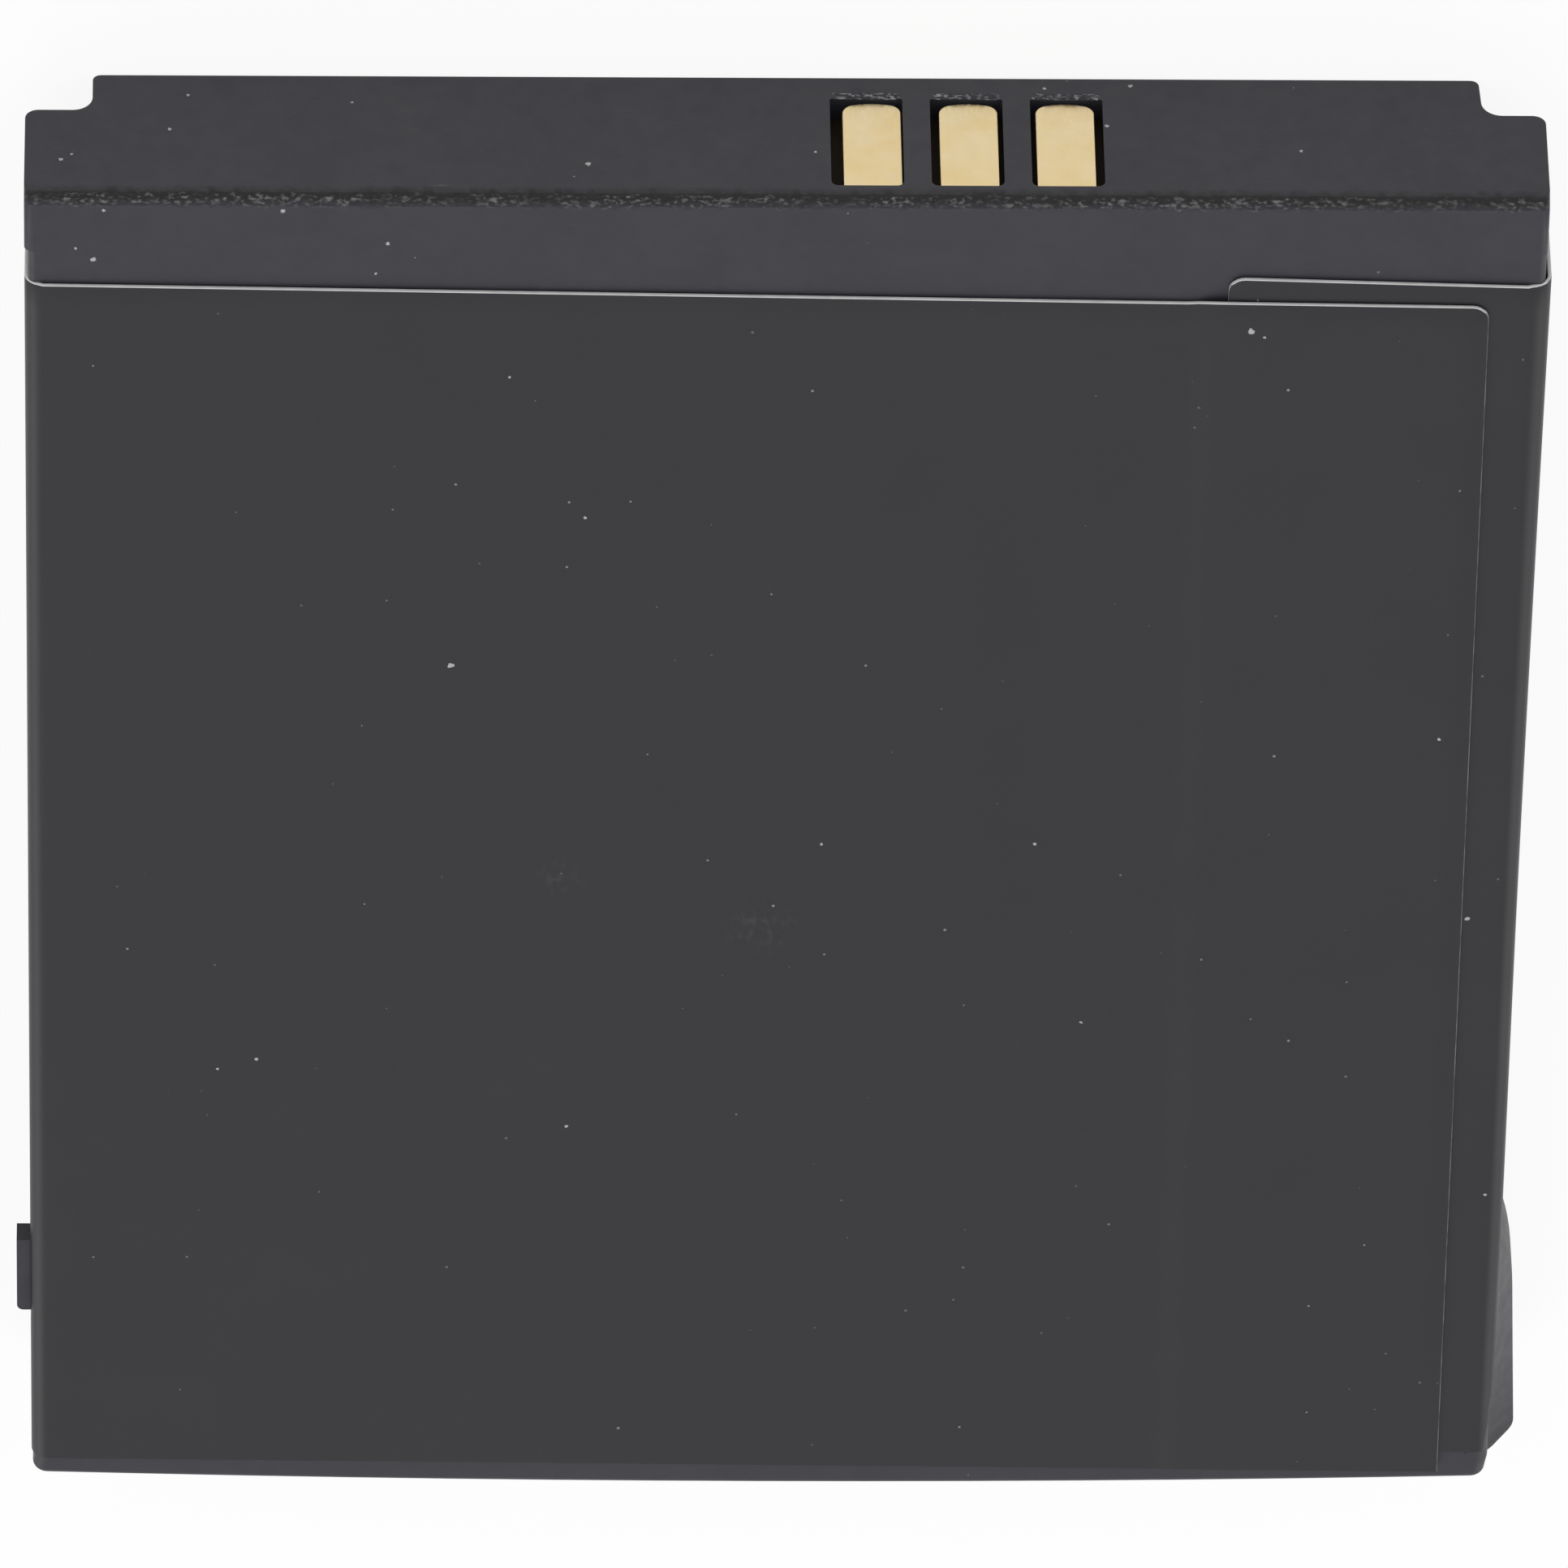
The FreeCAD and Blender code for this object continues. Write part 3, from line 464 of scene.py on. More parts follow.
def on_chamfer(points):
    """True for points on the cap's long front chamfer."""
    return all(near(point.y - chamfer_inside + point.z - chamfer_below, CAP_CHAMFER) for point in points)


def mark_torn_edge():
    """While editing the cap, marks out its chamfer, with a narrow strip on either side of it."""

    def beside_chamfer(points):
        return all_at(Z, front)(points) or all_at(Y, end_face)(points) or on_chamfer(points)

    def torn(points):
        forward = all(point.z > chamfer_below - END_MARGIN - TOUCH for point in points)
        outward = all(point.y > chamfer_inside - FRONT_MARGIN - TOUCH for point in points)
        return forward and outward

    for way in (-1, 1):
        cut(X, way * TORN_HALF, beside_chamfer)
    cut(Y, chamfer_inside - FRONT_MARGIN, all_at(Z, front))
    cut(Z, chamfer_below - END_MARGIN, all_at(Y, end_face))
    paint(TORN_SLOT, torn)


def carve_windows(cap):
    """Hollows the cap out for its board, and opens a window for each contact."""
    cavity = start_block(
        "cavity_cutter",
        (-CAVITY_HALF, lid - PAST, back + CAP_WALL),
        (CAVITY_HALF, end_face - END_WALL, front - CAP_WALL),
    )
    carve(cap, cavity)
    for middle in window_middles():
        window = start_block(
            "window_cutter",
            (middle - WINDOW_WIDTH / 2, end_face - END_WALL - PAST, WINDOW_BACK),
            (middle + WINDOW_WIDTH / 2, end_face + PAST, WINDOW_FRONT),
        )
        shape(window)
        round_off(WINDOW_FRONT_ROUND, CORNER_FACETS, both(along(Y), all_at(Z, WINDOW_FRONT)))
        round_off(WINDOW_BACK_ROUND, WINDOW_FACETS, both(along(Y), all_at(Z, WINDOW_BACK)))
        leave()
        carve(cap, window)


def window_middles():
    """The windows' places along X."""
    return [WINDOW_FIRST + WINDOW_PITCH * index for index in range(len(CONTACTS))]


def step_label_seat():
    """While editing the cap, steps its sides in below the seat line, where the label goes on."""
    cut(Y, SEAT_LINE)
    cut(Y, SEAT_LINE - SEAT_STEP)
    for way, depth in ((-1, FILM), (1, RIGHT_SEAT_DEPTH)):
        choose("VERT", lambda points: way * points[0].x > half_cap - CAP_BACK_ROUND - TOUCH
               and points[0].y < SEAT_LINE - TOUCH)
        move(x=-way * depth)


def tear_front_edge():
    """While editing the cap, breaks its long front chamfer into small ragged facets."""
    chamfer_lines = [(end_face, chamfer_below), (chamfer_inside, front)]
    border_lines = [(end_face, chamfer_below - END_MARGIN), (chamfer_inside - FRONT_MARGIN, front)]
    torn_stretch = between(X, -TORN_HALF, TORN_HALF)
    inner_stretch = between(X, -TORN_HALF + CLEAR, TORN_HALF - CLEAR)

    def on_lines(lines):
        return lambda points: any(both(all_at(Y, y), all_at(Z, z))(points) for y, z in lines)

    def cross_edge(points):
        return on_chamfer(points) and near(points[0].x, points[1].x)

    divide(TORN_CUTS, both(torn_stretch, along(X), on_lines(chamfer_lines + border_lines)))
    divide(TORN_ROWS, both(torn_stretch, cross_edge))
    choose("EDGE", both(torn_stretch, on_lines(border_lines)))
    bpy.ops.mesh.mark_sharp()
    roughen(TORN_DEPTH, TORN_SEED, both(inner_stretch, on_chamfer))


def tear_window_lips():
    """While editing the cap, breaks the far lip of each window."""
    lip_far = WINDOW_BACK - LIP_WIDTH
    on_end = both(all_at(Y, end_face), between(Z, back, chamfer_below - END_MARGIN))
    straight = WINDOW_WIDTH / 2 - WINDOW_BACK_ROUND
    for middle in window_middles():
        for way in (-1, 1):
            cut(X, middle + way * straight, on_end)
    cut(Z, lip_far, on_end)
    for middle in window_middles():
        on_lip = both(between(X, middle - straight, middle + straight), all_at(Y, end_face),
                      between(Z, lip_far, WINDOW_BACK))
        inside = between(X, middle - straight + CLEAR, middle + straight - CLEAR)
        paint(LIP_SLOT, on_lip)
        cut(Z, WINDOW_BACK - LIP_WIDTH / 2, on_lip)
        for station in inner_stations(middle, straight, LIP_PARTS):
            cut(X, station, on_lip)
        choose("EDGE", both(on_lip, lambda points: not inside(points) or all_at(Z, lip_far)(points)))
        bpy.ops.mesh.mark_sharp()
        choose("VERT", both(inside, all_at(Y, end_face), all_at(Z, WINDOW_BACK)))
        move(y=-LIP_DROP)
        dropped = between(Y, end_face - LIP_DROP, end_face)
        loose = both(inside, dropped, between(Z, lip_far + TOUCH, WINDOW_BACK))
        roughen(LIP_DEPTH, LIP_SEED, loose)


def film_route():
    """The film's inner face from the underlap's end round to the lap's end, station by station."""
    bend = side - FILM_BEND
    low = back + FILM_BEND
    high = front - FILM_BEND
    right = (RIGHT_TOP, RIGHT_FOOT)
    left = (LEFT_TOP, LEFT_FOOT)
    lift = FILM + FILM_GAP
    route = []

    def part_way(start, end, share):
        return [first + (last - first) * share for first, last in zip(start, end)]

    def straight(start, end):
        steps = max(2, math.ceil(math.hypot(end[0] - start[0], end[1] - start[1]) / FILM_STEP))
        for step in range(steps + 1):
            route.append(Station(*part_way(start, end, step / steps)))

    def turn(x, z, start, ends):
        for step in range(1, BEND_STEPS):
            angle = math.radians(start - 90.0 * step / BEND_STEPS)
            out = (x + FILM_BEND * math.cos(angle), z + FILM_BEND * math.sin(angle))
            route.append(Station(*out, *ends))

    def on_front(x, share):
        ends = part_way(left, (LAP_TOP, LAP_FOOT), (x + bend) / (LAP_END + bend))
        return Station(x, front + lift * share, *(end + LAP_RISE * share for end in ends))

    straight((UNDERLAP_TIP, front, TIP_TOP, TIP_FOOT), (bend, front, *right))
    turn(bend, high, 90, right)
    straight((side, high, *right), (side, low, *right))
    turn(bend, low, 0, right)
    straight((bend, back, *right), (-bend, back, *left))
    turn(-bend, low, -90, left)
    straight((-side, low, *left), (-side, high, *left))
    turn(-bend, high, -180, left)
    straight(on_front(-bend, 0.0), on_front(RAMP_START, 0.0))
    for step in range(1, RAMP_STEPS):
        run = step / RAMP_STEPS
        route.append(on_front(RAMP_START + (RAMP_END - RAMP_START) * run, run * run * (3 - 2 * run)))
    straight(on_front(RAMP_END, 1.0), on_front(LAP_END, 1.0))
    return route


def make_label(film, core, worn):
    """The film, drawn out from its first edge along its winding, then given its thickness."""
    route = film_route()
    bpy.ops.object.select_all(action="DESELECT")
    bpy.ops.mesh.primitive_plane_add(size=1.0)
    label = bpy.context.object
    label.name = "wrap_label"
    label.data.name = "wrap_label"
    for material in (film, core, worn):
        label.data.materials.append(material)
    shape(label)
    start_strip(route[0])
    wind_strip(route)
    round_strip_ends(route[0], route[-1])
    lift_top_edge()
    cut_hole_for_tab()
    cut_hole_for_lug()
    flare_right_side()
    leave()
    turn_front_up(label)
    thicken_strip(label)
    bare_cut_edge(label)
    return label


def start_strip(tip):
    """While editing the label's plane, makes it the strip's first edge, divided into rows."""
    choose("VERT", lambda points: points[0].x < 0)
    bpy.ops.mesh.delete(type="VERT")
    bpy.ops.mesh.select_all(action="SELECT")
    bpy.ops.transform.resize(value=(1.0, tip.top - tip.foot, 1.0))
    move(tip.x - 0.5, (tip.top + tip.foot) / 2, tip.z)
    bpy.ops.mesh.subdivide(number_cuts=FILM_ROWS - 1)


def wind_strip(route):
    """While editing the label, draws its first edge out along the winding."""
    bpy.ops.mesh.select_mode(type="EDGE")
    bpy.ops.mesh.select_all(action="SELECT")
    for here, there in zip(route, route[1:]):
        middle = (there.top + there.foot) / 2
        step = (there.x - here.x, middle - (here.top + here.foot) / 2, there.z - here.z)
        bpy.ops.mesh.extrude_edges_move(TRANSFORM_OT_translate={"value": step})
        stretch = (there.top - there.foot) / (here.top - here.foot)
        bpy.ops.transform.resize(value=(1.0, stretch, 1.0), center_override=(there.x, middle, there.z))


def round_strip_ends(tip, lap):
    """While editing the label, rounds the corners of its two ends, all but the one at the lap's foot."""
    corners = [(tip.x, tip.top), (tip.x, tip.foot), (lap.x, lap.top)]

    def end_corner(points):
        point = points[0]
        on_front = point.z > front - TOUCH
        return on_front and any(near(point.x, x) and near(point.y, y) for x, y in corners)

    choose("VERT", end_corner)
    bpy.ops.mesh.bevel(offset=FILM_END_ROUND, segments=ROUND_FACETS, affect="VERTICES")


def thicken_strip(label):
    """Gives the film its thickness, with its core showing along every cut edge."""
    wall = label.modifiers.new("film", "SOLIDIFY")
    wall.thickness = FILM
    wall.offset = 1.0
    wall.use_even_offset = True
    wall.use_rim = True
    wall.material_offset_rim = CORE_SLOT
    apply_modifier(label, wall)


def lift_top_edge():
    """While editing the label, lifts its top edge a little off the cap, on both sides of the lap."""
    for reach, low in (((-side, RAMP_START), LIFT_LOW), ((UNDERLAP_TIP, side), UNDERLAP_LIFT_LOW)):
        choose("VERT", both(all_at(Z, front), between(X, *reach), between(Y, low, end_face)))
        move(z=TOP_LIFT)
    low_ramp = both(between(X, RAMP_START, RAMP_END), between(Z, front, front + TOP_LIFT))
    choose("VERT", both(low_ramp, between(Y, LIFT_LOW, end_face)))
    bpy.ops.transform.resize(value=(1.0, 1.0, 0.0), center_override=(0.0, 0.0, front + TOP_LIFT))


def spans(low, high):
    """A test for faces that reach into a stretch along Y."""

    def test(points):
        places = [point.y for point in points]
        return max(places) > low and min(places) < high

    return test


def cut_hole_for_tab():
    """While editing the label, opens its left wall for the frame's tab."""
    low, high = TAB_LOW - CUTOUT_PLAY, TAB_HIGH + CUTOUT_PLAY
    rear, fore = TAB_BACK - CUTOUT_PLAY, TAB_FRONT + CUTOUT_PLAY
    on_left = between(X, -side, -side + FILM_BEND)
    for axis, place in ((Y, low), (Y, high), (Z, rear), (Z, fore)):
        cut(axis, place, both(on_left, spans(low, high)))
    choose("FACE", both(on_left, between(Y, low, high), between(Z, rear, fore)))
    bpy.ops.mesh.delete(type="FACE")


def cut_hole_for_lug():
    """While editing the label, opens its right wall for the frame's lug, down to the strip's foot.

    The opening's front edge starts on the wall and runs out onto the bend towards the foot.
    """
    high = LUG_HIGH + CUTOUT_PLAY
    rear = LUG_BACK - CUTOUT_PLAY
    start = Vector((side, LUG_SHOULDER, LUG_FRONT + CUTOUT_PLAY / 2))
    end = Vector((side - SLIT_INSIDE, LUG_LOW, front - SLIT_BELOW))
    slit = (start - end).cross(Vector((1.0, 0.0, 1.0)))
    on_right = both(between(X, side - FILM_BEND, side), spans(sole, high + FILM_STEP))
    cut(Y, high, on_right)
    cut(Z, rear, on_right)
    cut_plane(start, slit, on_right)

    def in_hole(points):
        middle = sum(points, Vector()) / len(points)
        outside = (middle - start).dot(slit) > 0
        return on_right(points) and middle.y < high and middle.z > rear and outside

    choose("FACE", in_hole)
    bpy.ops.mesh.delete(type="FACE")


def flare_right_side():
    """While editing the label, lets its right side stand off a little towards the top."""
    bend = side - FILM_BEND
    mesh = bmesh.from_edit_mesh(bpy.context.object.data)
    rows = sorted({round(vertex.co.y / TOUCH) for vertex in mesh.verts if vertex.co.x > bend + TOUCH})
    for row in rows:
        place = row * TOUCH
        if place > FLARE_LOW:
            share = (place - FLARE_LOW) / (RIGHT_TOP - FLARE_LOW)
            choose("VERT", lambda points: points[0].x > bend - TOUCH and near(points[0].y, place))
            wider = 1.0 + FLARE / FILM_BEND * share ** FLARE_CURVE
            bpy.ops.transform.resize(value=(wider, 1.0, 1.0), center_override=(bend, 0.0, 0.0))


def turn_front_up(piece):
    """Flips a sheet's faces if those on the front look into the pack."""
    fronts = [face for face in piece.data.polygons if face.center.z > front - TOUCH]
    if fronts[0].normal.z < 0:
        shape(piece)
        bpy.ops.mesh.select_all(action="SELECT")
        bpy.ops.mesh.flip_normals()
        leave()


def bare_cut_edge(label):
    """Rounds the film's outer cut edge along its top and at its lap's end, where it shows."""
    for slot, axis, width in ((CORE_SLOT, Y, CUT_EDGE_ROUND), (WORN_SLOT, X, LAP_EDGE_ROUND)):
        shape(label)
        bpy.ops.mesh.select_mode(type="EDGE")
        bpy.ops.mesh.select_all(action="DESELECT")
        mesh = bmesh.from_edit_mesh(label.data)
        for edge in mesh.edges:
            skins = [face for face in edge.link_faces if face.material_index == SKIN_SLOT]
            rims = [face for face in edge.link_faces if face.material_index == CORE_SLOT]
            if len(skins) == 1 and len(rims) == 1:
                skin, rim = skins[0], rims[0]
                outer = (rim.calc_center_median() - skin.calc_center_median()).dot(skin.normal) < 0
                edge.select_set(outer and rim.normal[axis] > FACING)
        mesh.select_flush_mode()
        bmesh.update_edit_mesh(label.data)
        bpy.ops.mesh.bevel(
            offset=width, segments=FILM_FACETS, affect="EDGES", material=slot, clamp_overlap=True
        )
        drop_slivers()
        leave()


def make_moulded_frame(plastic):
    """The frame: a bowed floor and two rails, a small tab on the left and a long lug on the right."""
    body = start_block("moulded_frame", (-side, sole, back), (side, FLOOR_TOP, front), plastic)
    shape(body)
    raise_rails()
    raise_floor_lip()
    bow_sole()
    round_frame_edges()
    add_tab()
    add_lug()
    shift_foot()
    leave()
    return body


def raise_rails():
    """While editing the frame, raises both rails from its floor, in one smooth skin outside."""
    for way in (-1, 1):
        cut(X, way * RAIL_INSIDE)
    for way in (-1, 1):
        ends = sorted((way * RAIL_INSIDE, way * side))
        choose("FACE", both(all_at(Y, FLOOR_TOP), between(X, *ends)))
        bpy.ops.mesh.extrude_region_move(TRANSFORM_OT_translate={"value": (0.0, lid - FLOOR_TOP, 0.0)})

    def rail_seam(points):
        outside = all(abs(point.x) > RAIL_INSIDE - TOUCH for point in points)
        inner_corner = all(near(abs(point.x), RAIL_INSIDE) for point in points)
        return all_at(Y, FLOOR_TOP)(points) and outside and not inner_corner

    choose("EDGE", rail_seam)
    bpy.ops.mesh.dissolve_edges()


def raise_floor_lip():
    """While editing the frame, raises a low lip along its floor's front, behind the label's foot."""
    lip_half = RAIL_INSIDE - FLOOR_LIP_PLAY
    on_floor = both(all_at(Y, FLOOR_TOP), between(X, -RAIL_INSIDE, RAIL_INSIDE))
    cut(Z, front - FLOOR_LIP, on_floor)
    for way in (-1, 1):
        cut(X, way * lip_half, on_floor)
    choose("FACE", both(on_floor, between(X, -lip_half, lip_half), between(Z, front - FLOOR_LIP, front)))
    bpy.ops.mesh.extrude_region_move(TRANSFORM_OT_translate={"value": (0.0, FLOOR_LIP_RISE, 0.0)})


def bow_sole():
    """While editing the frame, bows its sole up to both sides."""
    stations = inner_stations(0.0, side, BOW_PARTS)
    for station in stations:
        cut(X, station)
    for station in [-side, -RAIL_INSIDE, *stations, RAIL_INSIDE, side]:
        choose("VERT", both(all_at(X, station), all_at(Y, sole)))
        move(y=FLOOR_BOW * (station / side) ** 2)


def round_frame_edges():
    """While editing the frame, rounds its four long corners and its sole's rim."""

    def side_corner(points):
        skin = all(near(point.z, front) or near(point.z, back) for point in points)
        return along(Y)(points) and skin and near(abs(points[0].x), side)

    def sole_rim(points):
        low = all(point.y < sole + FLOOR_BOW + TOUCH for point in points)
        crosses = near(points[0].x, points[1].x) and abs(points[0].x) < side - TOUCH
        return low and not crosses

    round_off(FILM_BEND, ROUND_FACETS, side_corner)
    round_off(RIM_ROUND, ROUND_FACETS, sole_rim)


def add_tab():
    """While editing the frame, pulls the tab out of its left wall."""
    grow_from_wall(-side, (TAB_LOW, TAB_HIGH), (TAB_BACK, TAB_FRONT), [], TAB_OUT + side)
    round_off(TAB_ROUND, CORNER_FACETS, both(all_at(X, TAB_OUT), all_at(Y, TAB_LOW)))


def add_lug():
    """While editing the frame, pulls the lug out of its right wall and shapes it.

    The lug is proudest at its knee, fades into the wall at its top and slopes away from the front, more
    steeply towards its shoulder.
    """
    outline = lug_outline()
    stations = [place for out, place in outline[1:-1]]
    grow_from_wall(side, (LUG_LOW, LUG_HIGH), (LUG_BACK, LUG_FRONT), stations, LUG_OUT - side)
    for out, place in outline:
        rise = min(max((place - LUG_KNEE) / (LUG_SHOULDER - LUG_KNEE), 0.0), 1.0)
        full_slope = LUG_FOOT_SLOPE + (LUG_SHOULDER_SLOPE - LUG_FOOT_SLOPE) * rise
        slope = full_slope * (out - side) / (LUG_OUT - side)
        for level, drop in ((LUG_FRONT, slope), (LUG_BACK, 0.0)):
            choose("VERT", both(all_at(X, LUG_OUT), all_at(Y, place), all_at(Z, level)))
            move(x=out - LUG_OUT, z=-drop)
    merge_doubles()


def shift_foot():
    """While editing the frame, sets its foot a little to the left of its rails."""

    def foot_side(points):
        return abs(points[0].x) > RAIL_INSIDE - TOUCH and points[0].y < FOOT_LINE - TOUCH

    cut(Y, FOOT_LINE)
    choose("VERT", foot_side)
    move(x=FOOT_SHIFT)


def lug_outline():
    """The lug's outline from its foot over its knee and shoulder to its top: points (x, y)."""
    low, high = Vector((side, LUG_LOW)), Vector((side, LUG_HIGH))
    knee = Vector((LUG_OUT, LUG_KNEE))
    shoulder = Vector((LUG_SHOULDER_OUT, LUG_SHOULDER))

    def bend(start, corner, end, reach):
        before = (start - corner).normalized() * reach
        after = (end - corner).normalized() * reach
        shares = [step / LUG_BEND_STEPS for step in range(LUG_BEND_STEPS + 1)]
        return [corner + before * (1 - share) ** 2 + after * share ** 2 for share in shares]

    knee_bend = bend(low, knee, shoulder, LUG_ROUND)
    shoulder_bend = bend(knee, shoulder, high, SHOULDER_ROUND)
    turns = [low, *knee_bend, *shoulder_bend, high]
    outline = [low]
    for here, there in zip(turns, turns[1:]):
        steps = math.ceil((there - here).length / LUG_STEP)
        outline += [here.lerp(there, step / steps) for step in range(1, steps + 1)]
    return outline


def grow_from_wall(wall, along_y, along_z, stations, out):
    """While editing, marks out a patch on a side wall and pulls it out of the wall."""
    for place in (*along_y, *stations):
        cut(Y, place, all_at(X, wall))
    for place in along_z:
        cut(Z, place, all_at(X, wall))
    choose("FACE", both(all_at(X, wall), between(Y, *along_y), between(Z, *along_z)))
    bpy.ops.mesh.extrude_region_move(TRANSFORM_OT_translate={"value": (out, 0.0, 0.0)})


def make_first_contact(gold):
    """The first contact pad: its far end arched, with rounded corners and a softened rim."""
    low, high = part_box(CONTACTS[0])
    pad = start_block(f"{CONTACTS[0]}_pad", low, high, gold)
    middle = (low.x + high.x) / 2
    half = (high.x - low.x) / 2
    shape(pad)
    stations = inner_stations(middle, half, CONTACT_PARTS)
    for station in stations:
        cut(X, station)
    for station in [low.x, *stations, high.x]:
        choose("VERT", both(all_at(X, station), all_at(Z, low.z)))
        move(z=CONTACT_ARCH * ((station - middle) / half) ** 2)

    def far_corner(points):
        at_side = all(near(point.x, low.x) or near(point.x, high.x) for point in points)
        at_far_end = all(point.z < low.z + 2 * CONTACT_ARCH for point in points)
        return along(Y)(points) and at_side and at_far_end

    def top_outline(points):
        crosses = near(points[0].x, points[1].x) and low.x + TOUCH < points[0].x < high.x - TOUCH
        return all_at(Y, high.y)(points) and not crosses

    round_off(CONTACT_ROUND, CORNER_FACETS, far_corner)
    round_off(CONTACT_EDGE_ROUND, RIM_FACETS, top_outline)
    drop_slivers()
    leave()
    return pad


def repeat_contact(first, node):
    """A copy of the first pad with a mesh of its own, at another contact's place."""
    here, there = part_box(CONTACTS[0])[0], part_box(node)[0]
    pad = first.copy()
    pad.data = first.data.copy()
    pad.name = f"{node}_pad"
    pad.data.name = pad.name
    bpy.context.scene.collection.objects.link(pad)
    shape(pad)
    bpy.ops.mesh.select_all(action="SELECT")
    move(x=there.x - here.x)
    leave()
    return pad


# Most of a noise's values lie between these two
NOISE_LOW, NOISE_HIGH = 0.3, 0.7


class Finish:
    """A material being wired up, with short ways to add and join its nodes."""

    def __init__(self, name):
        self.material = bpy.data.materials.new(name)
        self.material.use_nodes = True
        self.tree = self.material.node_tree
        self.shader = self.tree.nodes["Principled BSDF"]
        self.place = self.add("ShaderNodeTexCoord").outputs["Object"]

    def add(self, kind, **settings):
        """A node with its settings."""
        node = self.tree.nodes.new(kind)
        for name, value in settings.items():
            setattr(node, name, value)
        return node

    def feed(self, socket, value):
        """Sets a socket to a number or colour, or joins another socket to it."""
        if isinstance(value, bpy.types.NodeSocket):
            self.tree.links.new(value, socket)
        else:
            socket.default_value = value

    def math(self, operation, first, second=0.0):
        """The result of one sum."""
        node = self.add("ShaderNodeMath", operation=operation)
        self.feed(node.inputs[0], first)
        self.feed(node.inputs[1], second)
        return node.outputs[0]

    def noise(self, size, detail=2.0, place=None):
        """Cloudy noise whose features are about one size across."""
        node = self.add("ShaderNodeTexNoise")
        self.feed(node.inputs["Scale"], 1.0 / size)
        self.feed(node.inputs["Detail"], detail)
        self.feed(node.inputs["Vector"], place or self.place)
        return node.outputs["Fac"]

    def spread(self, value, low, high, to_low=0.0, to_high=1.0):
        """A value's range carried over to another range."""
        node = self.add("ShaderNodeMapRange")
        sockets = ("Value", "From Min", "From Max", "To Min", "To Max")
        for name, number in zip(sockets, (value, low, high, to_low, to_high)):
            self.feed(node.inputs[name], number)
        return node.outputs[0]

    def cloud(self, size, detail=2.0, low=0.0, high=1.0):
        """Cloudy noise drawn out over a whole range."""
        return self.spread(self.noise(size, detail), NOISE_LOW, NOISE_HIGH, low, high)

    def mix(self, share, first, second):
        """One colour laid over another."""
        node = self.add("ShaderNodeMix", data_type="RGBA")
        self.feed(node.inputs["Factor"], share)
        self.feed(node.inputs[6], first)
        self.feed(node.inputs[7], second)
        return node.outputs[2]

    def stretched(self, scale):
        """Object coordinates drawn together or apart along each axis."""
        node = self.add("ShaderNodeMapping")
        self.feed(node.inputs["Scale"], scale)
        self.feed(node.inputs["Vector"], self.place)
        return node.outputs["Vector"]

    def distance(self, place):
        """How far a point is from one place."""
        node = self.add("ShaderNodeVectorMath", operation="DISTANCE")
        self.feed(node.inputs[0], self.place)
        self.feed(node.inputs[1], tuple(value * MM for value in place))
        return node.outputs["Value"]

    def dust(self, cell, size):
        """Round specks of uneven size and brightness, at most one to a cell."""
        node = self.add("ShaderNodeTexVoronoi")
        self.feed(node.inputs["Scale"], 1.0 / cell)
        self.feed(node.inputs["Vector"], self.place)
        lot = self.add("ShaderNodeSeparateColor")
        self.feed(lot.inputs["Color"], node.outputs["Color"])
        reach = self.math("MULTIPLY", lot.outputs["Red"], size / cell)
        speck = self.math("LESS_THAN", node.outputs["Distance"], reach)
        return self.math("MULTIPLY", speck, self.spread(lot.outputs["Green"], 0.0, 1.0, 0.1, 0.6))

    def fleck(self, place, radius):
        """One fleck with a ragged outline."""
        reach = self.cloud(radius, 2.0, 0.5 * radius, 1.2 * radius)
        return self.math("LESS_THAN", self.distance(place), reach)

    def smudge(self, place, radius):
        """A faint cloudy smear that fades out from its middle."""
        inside = self.spread(self.distance(place), 0.0, radius, 1.0, 0.0)
        streaks = self.noise(SMUDGE_GRAIN, 4.0, self.stretched((1.0, 0.6, 1.0)))
        return self.math("MULTIPLY", inside, self.spread(streaks, 0.5, 0.8, 0.0, 0.2))

    def crumbs_and_glints(self):
        """Fine whitened specks that lie together in patches: torn crumbs, partly painted glints of lit
        rough facets.
        """
        fine = self.spread(self.noise(CRUMB_AND_GLINT, 4.0, self.stretched((0.55, 1.0, 1.0))), 0.49, 0.72)
        patch = self.spread(self.noise(CRUMB_AND_GLINT_PATCH, 2.0), 0.35, 0.6, 0.25, 1.0)
        return self.math("MULTIPLY", fine, patch)

    def bump(self, height, depth):
        """Relief of one depth on the shader's normal."""
        node = self.add("ShaderNodeBump")
        self.feed(node.inputs["Distance"], depth)
        self.feed(node.inputs["Height"], height)
        self.feed(self.shader.inputs["Normal"], node.outputs["Normal"])

    def set(self, **values):
        """Sets the shader's own sockets."""
        for name, value in values.items():
            self.feed(self.shader.inputs[name.replace("_", " ")], value)


def grey(level, blue=0.0):
    """A neutral colour, a little blue where asked."""
    return (level, level, level + blue, 1.0)


def tinted(colour, level):
    """A colour made darker or paler."""
    return tuple(min(1.0, value * level) for value in colour[:3]) + (1.0,)


# Flecks and smudges that stand out on the label and the cap: place and radius, in millimetres
LABEL_FLECKS = [
    ((-10.03, 7.76, 6.14), 0.11),
    ((14.1, 21.2, 6.28), 0.12),
    ((14.5, 20.95, 6.28), 0.05),
    ((21.45, -2.3, 6.14), 0.09),
    ((20.33, 5.05, 6.28), 0.06),
    ((-8.32, 19.16, 6.14), 0.05),
    ((-5.97, 13.65, 6.14), 0.06),
    ((1.44, 0.63, 6.14), 0.05),
    ((8.01, 0.66, 6.14), 0.06),
    ((-15.94, -8.22, 6.14), 0.06),
    ((-17.15, -8.62, 6.14), 0.05),
    ((9.61, -6.6, 6.14), 0.05),
    ((-6.3, -10.95, 6.14), 0.06),
    ((22.4, -13.65, 6.14), 0.06),
]
